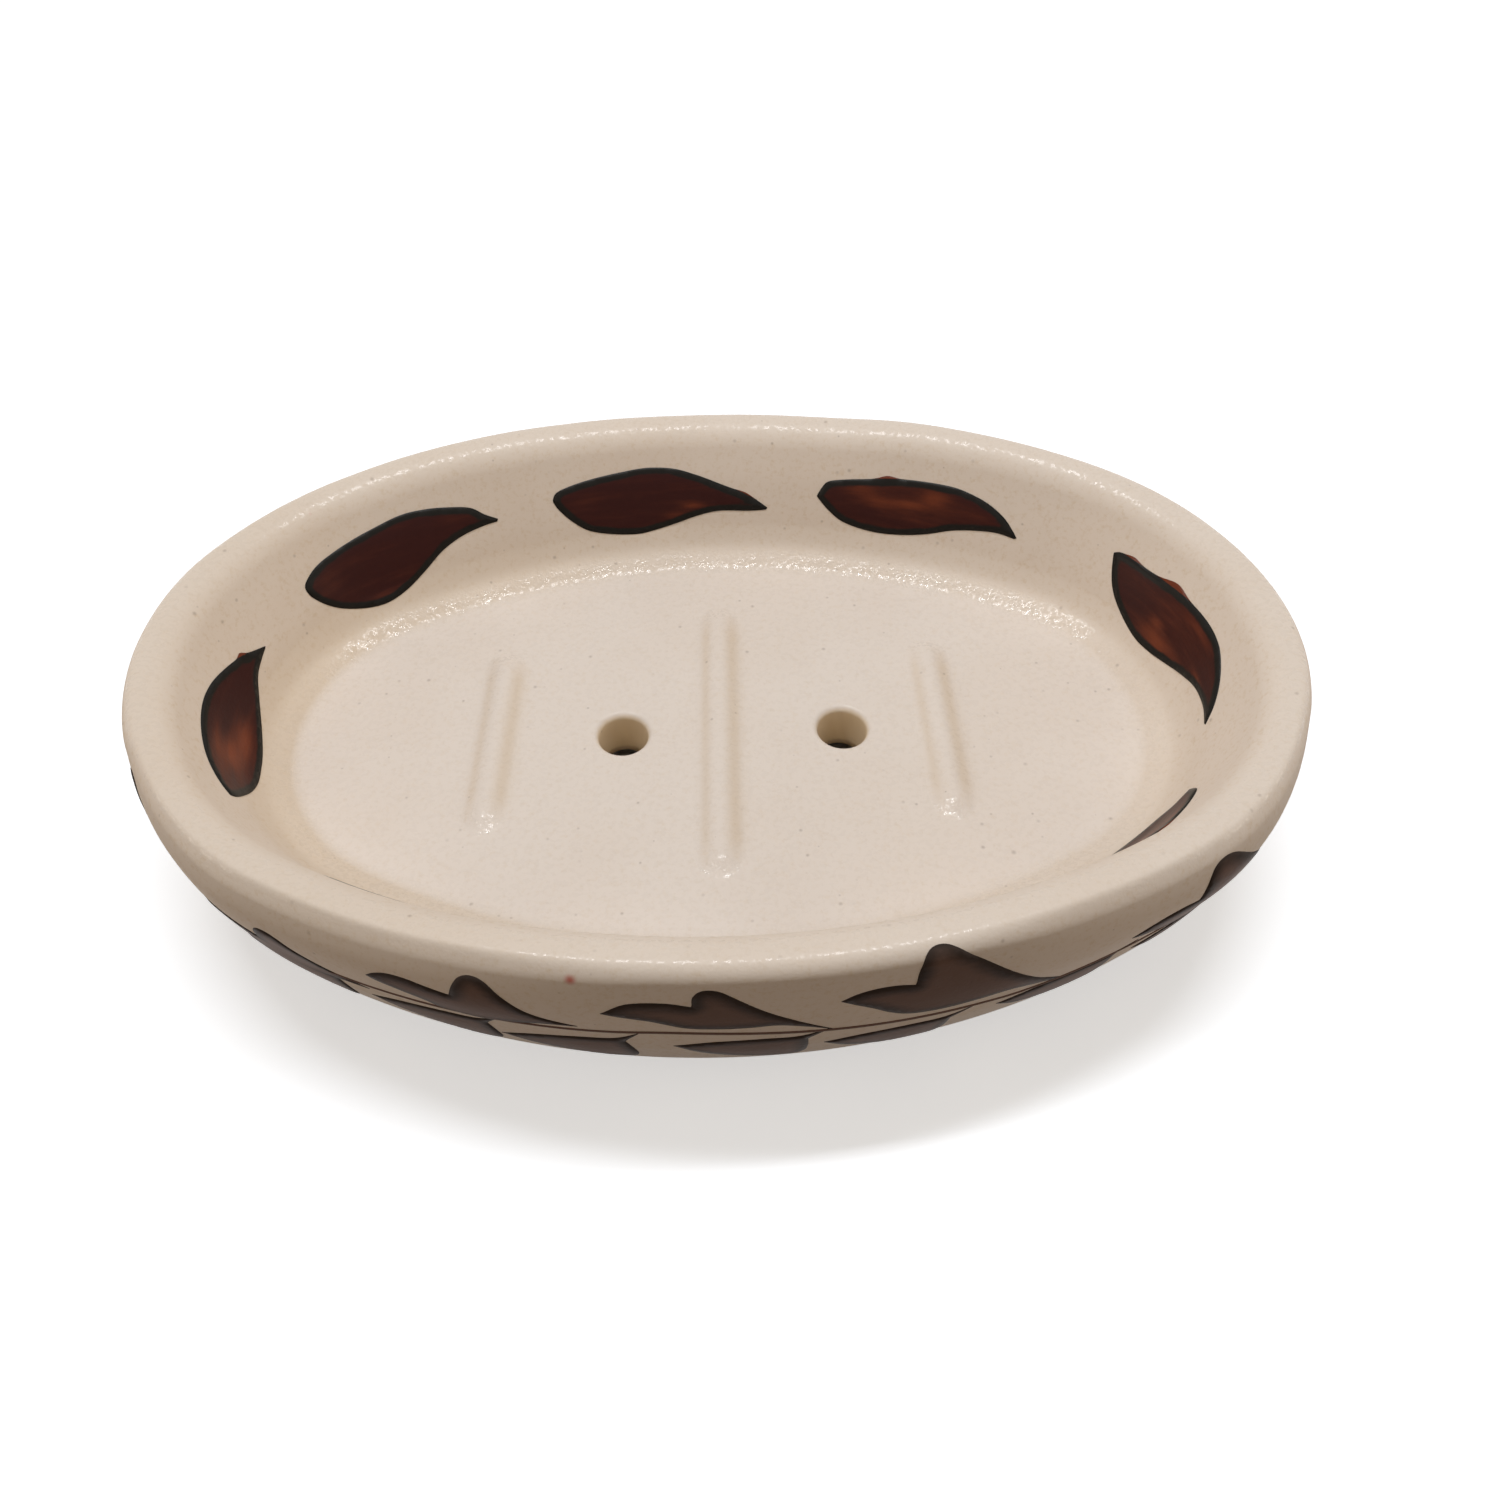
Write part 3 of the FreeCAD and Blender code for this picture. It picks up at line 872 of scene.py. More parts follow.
# %% Attributes of the body
# painted shade, yellow-brown, on the wall and in its corner, and what each gains towards the left end
WALL_SHADE, WALL_SHADE_LEFT = 0.11, 0.08
CORNER_SHADE, CORNER_SHADE_LEFT = 0.07, 0.10
# heights over the floor between which each begins or ends, in mm
WALL_BEGINS, CORNER_ENDS = (0, 0.4), (7.0, 3.0)
JOINT_BEGINS, JOINT_ENDS = (0.01, 0.07), (1.5, 0.7)
RIM_SPARKS = 0.4

points = coordinates(body_mesh) / MM
rise = points[:, 2] - FLOOR_TOP

pooled_and_shaded = np.zeros(len(points))
for rib in RIBS.values():
    pooled_and_shaded = np.maximum(pooled_and_shaded, rib_lines_and_shade(points, *rib) * (rise > -0.1))
on_wall = step(rise, *WALL_BEGINS)
in_corner = on_wall * step(rise, *CORNER_ENDS)
behind_front = step(points[:, 1], -35, -21)
leftward = step(points[:, 0], 0, -50)
# painted shade: darker and yellower on the walls, in their corner behind the front, and towards the left end
wall_shade = (WALL_SHADE + WALL_SHADE_LEFT * leftward) * on_wall
corner_shade = (CORNER_SHADE + CORNER_SHADE_LEFT * leftward) * in_corner * behind_front
pooled_and_shaded = np.maximum(pooled_and_shaded, wall_shade + corner_shade)

# painted light: the glaze grows paler down each hole
painted_hole_light = np.zeros(len(points))
for hole in HOLES:
    in_hole = np.hypot(points[:, 0] - hole[0], points[:, 1] - hole[1]) < HOLE_RADIUS + 0.3
    painted_hole_light = np.maximum(painted_hole_light, in_hole * step(rise, 0, -MOUTH))

wall_joint = step(rise, *JOINT_BEGINS) * step(rise, *JOINT_ENDS)
joint = np.maximum(wall_joint, RIM_SPARKS * step(points[:, 2], HEIGHT - 2, HEIGHT - 1))

for name, values in (("pooled_and_shaded", pooled_and_shaded), ("painted_hole_light", painted_hole_light), ("joint", joint), ("level", levelness(body_mesh))):
    store(body_mesh, name, values)
print("pooled on", int((pooled_and_shaded > 0.1).sum()), "of", len(pooled_and_shaded), "vertices")

# %% [markdown]
# ## The hand's unevenness
#
# A hand-made dish is never quite true. One tree moves every point by a slow noise, less and less towards
# the foot, which stays flat. The rim also rises and sags, and at the front left and front right the wall
# leans out and a thumb rubbed the lip rounder. Curves by the angle round the dish say how much, because
# these marks sit in places of their own. The tree runs on every piece with the same values, so leaves and
# ribs move with the clay below them.

# %% Marks of the hand, by the angle round the dish
# angle in degrees, and how far the rim rises or sags there, in mm
RIM_LIFTS = (
    (-150, -0.2), (-128, -0.45), (-112, 0.1), (-93, 0.55), (-68, 0.6), (-45, 0.1), (-10, -0.1),
    (35, -0.6), (60, -0.1), (80, -1.0), (105, -0.5), (122, -0.25), (142, -0.8), (165, -0.2),
)
# angle, and how softly the outside of the lip was rubbed: 0 left crisp, 1 rubbed round
RUBBED = (
    (-165, 0.3), (-145, 0.9), (-120, 0.9), (-95, 0.1), (-80, 0.0), (-68, 0.4), (-52, 0.9),
    (-35, 0.9), (-15, 0.4), (5, 0.1), (30, 0.0), (150, 0.0),
)
# angle, and how far the wall leans out, in mm
LEANS = (
    (-165, 0.0), (-150, 0.15), (-135, 0.6), (-115, 0.75), (-95, 0.1), (-80, 0.0), (-68, 0.4),
    (-52, 0.85), (-38, 0.6), (-22, 0.1), (-10, 0.0), (150, 0.0),
)
# a curve holds 0 to 1, so a lift goes into it as a share of the way from -MOST_LIFT to MOST_LIFT
MOST_LIFT = 2.0
lift_shares = [(angle, 0.5 + lift / (2 * MOST_LIFT)) for angle, lift in RIM_LIFTS]


def by_angle(tree, turn, at_ends, pairs):
    """A curve by the angle round the dish, in degrees, with one value at both its ends."""
    node = add(tree, "ShaderNodeFloatCurve", {"Value": turn})
    curve_points = node.mapping.curves[0].points
    curve_points[0].location = (0, at_ends)
    curve_points[1].location = (1, at_ends)
    for angle, value in pairs:
        curve_points.new(angle / 360 + 0.5, value)
    node.mapping.update()
    return node.outputs[0]


def position(tree):
    """Where each point lies."""
    return add(tree, "GeometryNodeInputPosition").outputs[0]


print("marks:", len(RIM_LIFTS) + len(RUBBED) + len(LEANS))

# %% Unevenness tree
# heights between which the clay grows loose, the rim lifts and the wall leans
LOOSE_FROM, LOOSE_TO = 5 * MM, 22 * MM
LIFT_FROM, LIFT_TO = 19.5 * MM, 26.5 * MM
LEAN_FROM, LEAN_TO = 13 * MM, 21 * MM
# the rub on the lip: how far in, how far down, and from what height
RUB_IN, RUB_DOWN, RUB_FROM = 1.1 * MM, 0.3 * MM, 20.0 * MM
# how far inside the rim the rub and the lean reach
RUB_REACH, LEAN_REACH = 2.6 * MM, 6 * MM

unevenness, given, result = geometry_tree(
    "hand_unevenness", [("Amount", "Float"), ("Waves per metre", "Float", 26.0), ("Rim line", "Object")]
)
tree = unevenness
here = position(tree)
at = split(tree, here)
height = at["Z"]
inputs = {"Vector": here, "Scale": given["Waves per metre"], "Detail": 1.0}
slow = add(tree, "ShaderNodeTexNoise", inputs).outputs["Color"]
slow = calc_vector(tree, "SUBTRACT", slow, (0.5, 0.5, 0.5))
loose = ramp(tree, height, LOOSE_FROM, LOOSE_TO)
push = calc_vector(tree, "SCALE", slow, calc(tree, "MULTIPLY", loose, given["Amount"]))

across = calc(tree, "MULTIPLY", at["Y"], LENGTH / WIDTH)
turn = calc(tree, "MULTIPLY_ADD", calc(tree, "ARCTAN2", across, at["X"]), 0.5 / math.pi, 0.5)
lift = between(tree, by_angle(tree, turn, 0.5, lift_shares), -MOST_LIFT * MM, MOST_LIFT * MM)
lift = calc(tree, "MULTIPLY", lift, ramp(tree, height, LIFT_FROM, LIFT_TO))
push = calc_vector(tree, "ADD", push, vector(tree, z=lift))

rim_edges = add(tree, "GeometryNodeCurveToMesh", {"Curve": shape_of(tree, given["Rim line"])}).outputs[0]
inputs = {"Geometry": rim_edges, "Sample Position": vector(tree, at["X"], at["Y"])}
inside_rim = add(tree, "GeometryNodeProximity", inputs, target_element="EDGES").outputs["Distance"]
steep = calc(tree, "MULTIPLY", at["Y"], (LENGTH / WIDTH) ** 2)
outward = calc_vector(tree, "NORMALIZE", vector(tree, at["X"], steep))

on_lip = ramp(tree, height, RUB_FROM, HEIGHT * MM)
near_rim = ramp(tree, inside_rim, RUB_REACH, 0.0)
rubbed = product(tree, on_lip, on_lip, near_rim, by_angle(tree, turn, 0.1, RUBBED))
rub = calc_vector(tree, "ADD", calc_vector(tree, "SCALE", outward, -RUB_IN), (0, 0, -RUB_DOWN))
push = calc_vector(tree, "ADD", push, calc_vector(tree, "SCALE", rub, rubbed))

on_upper_wall = ramp(tree, height, LEAN_FROM, LEAN_TO)
near_rim = ramp(tree, inside_rim, LEAN_REACH, 0.0)
lean = product(tree, on_upper_wall, near_rim, by_angle(tree, turn, 0.0, LEANS), MM)
push = calc_vector(tree, "ADD", push, calc_vector(tree, "SCALE", outward, lean))
moved = add(tree, "GeometryNodeSetPosition", {"Geometry": given["Geometry"], "Offset": push}).outputs[0]
smooth = add(tree, "GeometryNodeSetShadeSmooth", {"Geometry": moved}).outputs[0]
end_tree(tree, smooth, given, result)

# %% Finished body
HAND = 0.5 * MM


def finish_piece(rough, name, glaze, slot, *nodes):
    """Moves a piece by the hand's unevenness, glazes it, and lets it stand for its solids."""
    piece = run_tree(rough, unevenness, name, {"Amount": HAND, "Rim line": rim_guide, "Glaze": glaze})
    bpy.data.objects.remove(rough)
    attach(piece, "root")
    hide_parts(*nodes)
    return piece


body = finish_piece(body_rough, "dish_body", cream_glaze, "cream_glaze", "floor_slab", "wall_ring")
print(body.name, "triangles:", sum(len(p.vertices) - 2 for p in body.data.polygons))

# %% [markdown]
# ## Soap ribs
#
# Each rib is a roll of clay pressed on to the floor, a little askew, so its sides run out softly. A
# bevelled bar would look stuck on. The tree starts from a fine box and lifts its upper side into a bell,
# whose skirt sinks below the floor, and slants it. The same tree makes all three from their places,
# lengths and slants.

# %% Rib tree
# a rib's height, and how far it runs out beyond its half width
RIB_HEIGHT, RIB_SKIRT = 0.85, 1.1
# where its straight bar ends, in half widths from the rib's end
END_SHARE = 1.45
# past the bar a distance counts for this share of itself, so that the ends run out longer
END_EASE = 0.85
# the box it starts from: its height, how deep its skirt sinks, and its points across and along
BOX_HEIGHT, SKIRT_SINKS = 0.4 * MM, 0.22 * MM
BOX_ACROSS, BOX_ALONG = 33, 181

RIB_INPUTS = ("Length", "Half width", "Skirt", "Height", "Slant")
soft_rib, given, result = geometry_tree(
    "soft_rib", [("Place", "Vector"), *((name, "Float") for name in RIB_INPUTS)]
)
tree = soft_rib
reach = calc(tree, "ADD", given["Half width"], given["Skirt"])
half_length = calc(tree, "MULTIPLY", given["Length"], 0.5)
half_bar = calc(tree, "MULTIPLY_ADD", given["Half width"], -END_SHARE, half_length)
box_width = calc(tree, "MULTIPLY", reach, 2.0)
box_length = calc(tree, "ADD", half_bar, calc(tree, "DIVIDE", reach, END_EASE))
box_length = calc(tree, "MULTIPLY", box_length, 2.0)
inputs = {"Size": vector(tree, box_width, box_length, BOX_HEIGHT)}
inputs |= {"Vertices X": BOX_ACROSS, "Vertices Y": BOX_ALONG, "Vertices Z": 2}
box = add(tree, "GeometryNodeMeshCube", inputs).outputs[0]

at = split(tree, position(tree))
past_bar = calc(tree, "SUBTRACT", calc(tree, "ABSOLUTE", at["Y"]), half_bar)
past_bar = calc(tree, "MULTIPLY", calc(tree, "MAXIMUM", past_bar, 0.0), END_EASE)
square = calc(tree, "MULTIPLY_ADD", past_bar, past_bar, calc(tree, "MULTIPLY", at["X"], at["X"]))
away = calc(tree, "MINIMUM", calc(tree, "DIVIDE", calc(tree, "SQRT", square), reach), 1.0)
crown = calc(tree, "COSINE", calc(tree, "MULTIPLY", away, math.pi))
crown = calc(tree, "MULTIPLY_ADD", crown, 0.5, 0.5)
rise = calc(tree, "ADD", calc(tree, "MULTIPLY", crown, given["Height"]), -SKIRT_SINKS)
rise = calc(tree, "MULTIPLY", rise, calc(tree, "GREATER_THAN", at["Z"], 0.0))
aside = calc(tree, "MULTIPLY", at["Y"], given["Slant"])
push = calc_vector(tree, "ADD", vector(tree, x=aside, z=rise), given["Place"])
moved = add(tree, "GeometryNodeSetPosition", {"Geometry": box, "Offset": push}).outputs[0]
end_tree(tree, moved, given, result)

# %% Three ribs
# sparks at the ends: how many, and between what distances in mm from a rib's end they begin
END_SPARKS, SPARKS_FROM, SPARKS_TO = 1.2, 3.2, 1.7

seed_object = plain_object("seed", [(0, 0, 0)], [])
guides.append(seed_object)
for node, (x, length, slant) in RIBS.items():
    values = {"Place": (x * MM, 0.0, FLOOR_TOP * MM), "Length": length * MM, "Slant": slant}
    values |= {"Half width": RIB_HALF_WIDTH * MM, "Skirt": RIB_SKIRT * MM, "Height": RIB_HEIGHT * MM}
    rib = run_tree(seed_object, soft_rib, node + "_rough", {**values, "Glaze": cream_glaze})
    points = coordinates(rib.data) / MM
    at_end = step(np.abs(points[:, 1]), length / 2 - SPARKS_FROM, length / 2 - SPARKS_TO)
    store(rib.data, "pooled_and_shaded", rib_lines_and_shade(points, x, length, slant))
    store(rib.data, "level", levelness(rib.data))
    store(rib.data, "joint", END_SPARKS * at_end)
    piece = finish_piece(rib, node + "_soft", cream_glaze, "cream_glaze", node)
    print(piece.name, "top at", round(coordinates(piece.data)[:, 2].max() / MM, 2), "mm")

# %% [markdown]
# ## Laying a flat drawing on the wall
#
# Leaves and vine are drawn flat, as on paper: x runs round the dish, y along the section and z is the
# thickness of the glaze. A tree then lays each point on the wall. It samples the rim line at x and the
# section line at y, and builds the place from both, so the drawing bends with the clay and keeps its size.

# %% Tree that lays a flat drawing on a wall
def sample(tree, line, length):
    """The place and heading of a curve at a length along it."""
    return add(tree, "GeometryNodeSampleCurve", {"Curves": line, "Length": length}, mode="LENGTH").outputs


lay, given, result = geometry_tree("lay_on_wall", [("Rim line", "Object"), ("Section", "Object")])
tree = lay
rim_line = shape_of(tree, given["Rim line"])
flat = split(tree, position(tree))
turn_length = add(tree, "GeometryNodeCurveLength", {0: rim_line}).outputs[0]
on_rim = sample(tree, rim_line, calc(tree, "FLOORED_MODULO", flat["X"], turn_length))
on_section = sample(tree, shape_of(tree, given["Section"]), flat["Y"])
outward = calc_vector(tree, "CROSS_PRODUCT", on_rim["Tangent"], (0, 0, 1))
outward = calc_vector(tree, "NORMALIZE", outward)
drawn = split(tree, on_section["Position"])
heading = split(tree, on_section["Tangent"])
out = calc(tree, "MULTIPLY_ADD", calc(tree, "MULTIPLY", heading["Y"], -1.0), flat["Z"], drawn["X"])
down = calc(tree, "MULTIPLY_ADD", heading["X"], flat["Z"], drawn["Y"])
place = calc_vector(tree, "ADD", on_rim["Position"], calc_vector(tree, "SCALE", outward, out))
place = calc_vector(tree, "ADD", place, vector(tree, z=calc(tree, "MULTIPLY", down, -1.0)))
laid = add(tree, "GeometryNodeSetPosition", {"Geometry": given["Geometry"], "Position": place}).outputs[0]
end_tree(tree, laid, given, result)

# %% [markdown]
# ## Thin glaze from an outline
#
# A brush stroke of glaze is a low cushion, a fraction of a millimetre thick, that thins out at its edge.
# From a flat outline the net makes its upper side, a copy below it sinks into the wall, and a rim of faces
# closes it. The distance to the outline is kept for the material.

# %% Smooth outlines and glaze cushions
# in mm: how deep glaze reaches into the wall, and over what distance its edge grows thick
SUNK, EDGE_EASE = 0.12, 0.3
# thickness at the very edge, as a share of that in the middle
EDGE_SHARE = 0.35


def smooth_line(points, steps=12):
    """A smooth curve through points, which it passes one by one (Catmull-Rom)."""
    p = np.asarray(points, float)
    p = np.vstack([2 * p[0] - p[1], p, 2 * p[-1] - p[-2]])
    t = np.linspace(0, 1, steps, endpoint=False)[:, None]
    parts = []
    for a, b, c, d in zip(p[:-3], p[1:-2], p[2:-1], p[3:]):
        bend = (2 * a - 5 * b + 4 * c - d) * t**2
        twist = (3 * b - a - 3 * c + d) * t**3
        parts.append(0.5 * (2 * b + (c - a) * t + bend + twist))
    return np.vstack(parts)


def even(outline, spacing):
    """The same closed outline with points at even distances."""
    closed = np.vstack([outline, outline[:1]])
    lengths = np.r_[0, np.cumsum(np.linalg.norm(np.diff(closed, axis=0), axis=1))]
    count = max(12, round(lengths[-1] / spacing))
    at = np.arange(count) / count * lengths[-1]
    return np.column_stack([np.interp(at, lengths, closed[:, k]) for k in (0, 1)])


def cross(first, second):
    """Twice the area that two flat vectors span, positive where the second lies to the left."""
    return first[:, 0] * second[:, 1] - first[:, 1] * second[:, 0]


def cushion(name, outline, spacing, thickness):
    """Closed flat cushion of glaze over an outline in mm, with its points and their distance to the edge."""
    outline = even(outline, spacing * 0.6)
    if cross(outline, np.roll(outline, -1, axis=0)).sum() < 0:
        outline = outline[::-1]
    points, top_faces = net(outline, spacing)
    edge = distance_to(points, outline)
    a, b, c = (points[top_faces[:, k]] for k in range(3))
    clockwise = cross(b - a, c - a) < 0
    top_faces[clockwise] = top_faces[clockwise][:, ::-1]
    rise = thickness * (EDGE_SHARE + (1 - EDGE_SHARE) * (1 - np.exp(-edge / EDGE_EASE)))
    count = len(points)
    top = np.column_stack([points, rise])
    bottom = np.column_stack([points, np.full(count, -SUNK)])
    sides = {}
    for face in top_faces:
        for i, j in zip(face, np.roll(face, -1)):
            sides[(i, j)] = True
    faces = [tuple(f) for f in top_faces] + [tuple(f[::-1] + count) for f in top_faces]
    faces += [(j, i, i + count, j + count) for i, j in sides if (j, i) not in sides]
    made = plain_object(name, np.vstack([top, bottom]) * MM, faces)
    return made, np.tile(points, (2, 1)), np.tile(edge, 2)


print("cushions ready")

# %% [markdown]
# ## Inner leaves
#
# Eight leaves run round the flared wall, tips pointing clockwise. They were drawn by hand, so each visible
# one has its own two edges here, from the tip to the blunt end: millimetres along the leaf and down the
# wall. The three on the near wall, which hides most of them, repeat drawings of the others. Thin places
# are soft spots where the brush left little glaze, and spills are short stretches of the upper edge where
# brown ran out over the line.

# %% Drawings of the leaves
# upper edge and lower edge
LEAF_EDGES = {
    "left": (
        ((0, 8.8), (1.5, 8.1), (3.3, 7.2), (6.3, 6.1), (10.3, 4.9), (14.3, 4.5), (20.3, 5.0),
         (23.8, 6.1), (25.6, 7.3)),
        ((0, 8.9), (1.8, 9.5), (3.8, 10.3), (6.3, 12.0), (9.3, 13.4), (12.3, 14.2), (15.3, 14.4),
         (18.8, 13.9), (21.3, 12.7), (23.3, 10.8), (24.9, 8.8), (25.6, 7.3)),
    ),
    "back_left": (
        ((0, 7.2), (1.6, 6.2), (3.2, 4.9), (6.2, 4.0), (9.2, 3.4), (12.2, 3.2), (16.2, 3.8), (21.2, 4.6),
         (24.2, 5.2), (26.3, 6.2), (26.9, 6.9)),
        ((0, 7.5), (2.2, 7.7), (5.2, 8.3), (8.2, 9.5), (11.2, 11.4), (14.2, 12.9), (17.2, 13.6),
         (20.2, 13.2), (23.2, 11.9), (25.2, 10.3), (26.6, 8.3), (26.9, 6.9)),
    ),
    "back": (
        ((0, 9.5), (1.7, 8.4), (3.7, 7.4), (6.7, 6.2), (9.7, 4.9), (12.7, 3.8), (16.2, 3.4), (19.7, 3.7),
         (23.7, 4.2), (26.7, 4.8), (28.4, 5.4), (29.0, 6.4)),
        ((0, 9.8), (2.7, 10.0), (6.7, 10.0), (9.7, 10.6), (12.7, 11.5), (15.7, 12.2), (18.2, 12.5),
         (21.7, 12.1), (24.7, 11.2), (26.7, 9.7), (28.3, 7.8), (29.0, 6.4)),
    ),
    "back_right": (
        ((0, 8.5), (0.7, 7.7), (2.2, 6.3), (4.7, 4.9), (7.7, 4.0), (10.2, 3.7), (14.7, 3.8), (18.7, 4.2),
         (20.7, 4.5), (23.7, 4.9), (26.0, 5.4), (26.9, 6.5), (27.4, 7.5)),
        ((0, 8.7), (2.7, 8.5), (5.7, 8.9), (8.7, 9.6), (11.7, 10.7), (14.7, 11.4), (17.7, 11.7),
         (20.7, 11.5), (23.7, 10.7), (25.7, 9.3), (26.9, 8.1), (27.4, 7.5)),
    ),
    "right": (
        ((0, 9.6), (1.7, 7.9), (4.2, 6.3), (7.2, 5.0), (9.2, 4.5), (12.2, 4.3), (16.2, 4.5), (19.7, 4.8),
         (22.0, 5.0), (24.7, 5.1), (27.0, 5.1), (27.9, 5.6)),
        ((0, 9.8), (2.7, 9.6), (5.2, 9.8), (7.2, 10.2), (10.2, 11.2), (13.2, 12.2), (16.2, 12.9),
         (19.2, 13.0), (22.2, 12.2), (24.7, 10.8), (26.2, 9.3), (27.2, 7.5), (27.9, 5.6)),
    ),
}
# thin places: along, down, reach along, reach down, strength
LEAF_THIN = {
    "left": ((14.0, 11.6, 3.6, 1.7, 0.65), (17.5, 9.6, 2.4, 1.4, 0.55), (17.5, 7.2, 3.5, 1.2, 0.32),
             (21, 9, 4, 4, 0.2)),
    "back_left": ((17.5, 12.4, 3.0, 0.6, 0.26), (23.4, 8.2, 2.0, 1.8, 0.14)),
    "back": ((10.2, 9.0, 1.6, 0.4, 0.5), (12.6, 10.4, 2.2, 0.4, 0.5), (24.5, 7.0, 1.8, 1.2, 0.12)),
    "back_right": ((11.6, 5.6, 1.9, 1.1, 0.45), (14.6, 7.0, 2.6, 0.7, 0.42), (18.2, 7.5, 2.8, 0.7, 0.32),
                   (21.5, 5.9, 2.4, 0.9, 0.36), (14, 7, 9, 4, 0.14)),
    "right": ((16.0, 11.3, 4.2, 1.1, 0.5), (17.8, 9.5, 1.4, 0.6, 0.4), (12.0, 5.8, 3.8, 0.6, 0.4),
              (7.0, 9.4, 1.6, 0.5, 0.45), (14, 8, 9, 4, 0.14)),
}
# spills over the upper edge: along, reach, how far
LEAF_SPILLS = {
    "left": ((3.6, 0.6, 0.5),),
    "back_left": (),
    "back": ((3.0, 1.2, 0.22),),
    "back_right": ((18.2, 1.2, 0.42),),
    "right": ((18.6, 1.9, 0.75), (25.2, 1.1, 0.40)),
}
# the leaf's drawing, and the place of its tip round the wall and down from its drawing's own place
LEAVES = {
    "inner_leaf_1": ("left", (139.7, 0)),
    "inner_leaf_2": ("back_left", (103.8, 0)),
    "inner_leaf_3": ("back", (67.3, 0)),
    "inner_leaf_4": ("back_right", (33.3, 0)),
    "inner_leaf_5": ("right", (-7.2, 0)),
    "inner_leaf_6": ("back_right", (255.0, 2.5)),
    "inner_leaf_7": ("back", (214.8, 0)),
    "inner_leaf_8": ("back_left", (181.3, -0.7)),
}
print("drawings:", len(LEAF_EDGES), "leaves:", len(LEAVES))

# %% Inner leaves
LEAF_LINE_INSET = 7.5
LEAF_SPACING, LEAF_THICKNESS = 0.6, 0.16
leaf_line = oval_guide("leaf_line", LEAF_LINE_INSET)
flared_wall = np.vstack([[wall_top], inner_wall, waved_corner[1:]])
flared_guide = flat_guide("flared_guide", flared_wall, LEAF_LINE_INSET)


def spill(along, drawing_name):
    """How far brown ran out at each place along a leaf."""
    spills = LEAF_SPILLS[drawing_name]
    return sum((far * bell(along - at, reach) for at, reach, far in spills), np.zeros(len(along)))


def lay_piece(drawing, name, rim_line, section_line, glaze, slot, node):
    """Lays a drawing on the wall and finishes it as a piece."""
    values = {"Rim line": rim_line, "Section": section_line, "Glaze": glaze}
    laid = run_tree(drawing, lay, name + "_laid", values)
    bpy.data.objects.remove(drawing)
    return finish_piece(laid, name, glaze, slot, node)


for node, (drawing_name, tip) in LEAVES.items():
    upper_edge, lower_edge = (smooth_line(edge) for edge in LEAF_EDGES[drawing_name])
    upper_edge[:, 1] -= spill(upper_edge[:, 0], drawing_name)
    end = np.array([LEAF_EDGES[drawing_name][0][-1]], float)
    outline = np.vstack([upper_edge, end, lower_edge[:0:-1]])
    drawing, points, edge = cushion(node + "_drawing", outline + tip, LEAF_SPACING, LEAF_THICKNESS)
    along, down = (points - tip).T
    thin = np.zeros(len(along))
    for x, y, wide, tall, strength in LEAF_THIN[drawing_name]:
        thin += strength * bell(along - x, wide) * bell(down - y, tall)
    middle = (np.interp(along, *upper_edge.T) + np.interp(along, *lower_edge.T)) / 2
    spilled = np.where(down < middle, spill(along, drawing_name), 0)
    store(drawing.data, "edge", edge - spilled)
    store(drawing.data, "thin", thin)
    stroke = np.column_stack([along, down, np.full(len(along), tip[0])])
    store(drawing.data, "stroke", stroke, "FLOAT_VECTOR")
    piece = lay_piece(drawing, node + "_glaze", leaf_line, flared_guide, brown_glaze, "brown_glaze", node)
    low, high = coordinates(piece.data).min(0) / MM, coordinates(piece.data).max(0) / MM
    print(piece.name, "from", low.round(1), "to", high.round(1), "mm")

# %% [markdown]
# ## Vine outside
#
# Round the outer wall runs a stem with lobed leaves above and below it. The upper leaves come in three
# drawings, and the lower ones in one. Instance on Points puts them at places with a turn and a size of
# their own, because no two brush strokes are equal, and picks the drawing by a number that each place
# carries. The flat row is then laid on the wall by the tree from before.

# %% Vine tree
def carried(tree, name, kind):
    """A value that each point carries."""
    return add(tree, "GeometryNodeInputNamedAttribute", {"Name": name}, data_type=kind).outputs[0]


LEAF_INPUTS = ("Leaf 1", "Leaf 2", "Leaf 3")
LINE_INPUTS = ("Rim line", "Section")
objects = [(name, "Object") for name in LEAF_INPUTS + LINE_INPUTS]
vine_row, given, result = geometry_tree("vine_row", objects)
tree = vine_row
drawings = add(tree, "GeometryNodeJoinGeometry")
for name in reversed(LEAF_INPUTS):
    drawing = add(tree, "GeometryNodeGeometryToInstance", {0: shape_of(tree, given[name])}).outputs[0]
    feed(tree, drawings.inputs[0], drawing)
turned = add(tree, "FunctionNodeEulerToRotation", {0: carried(tree, "turn", "FLOAT_VECTOR")}).outputs[0]
inputs = {"Points": given["Geometry"], "Instance": drawings.outputs[0], "Pick Instance": True}
inputs |= {"Instance Index": carried(tree, "kind", "INT")}
inputs |= {"Rotation": turned, "Scale": carried(tree, "size", "FLOAT_VECTOR")}
copies = add(tree, "GeometryNodeInstanceOnPoints", inputs).outputs[0]
real = add(tree, "GeometryNodeRealizeInstances", {"Geometry": copies}).outputs[0]
laying = {"Geometry": real} | {name: given[name] for name in (*LINE_INPUTS, "Glaze")}
laid = add(tree, "GeometryNodeGroup", laying, node_tree=lay).outputs[0]
end_tree(tree, laid, given, result)

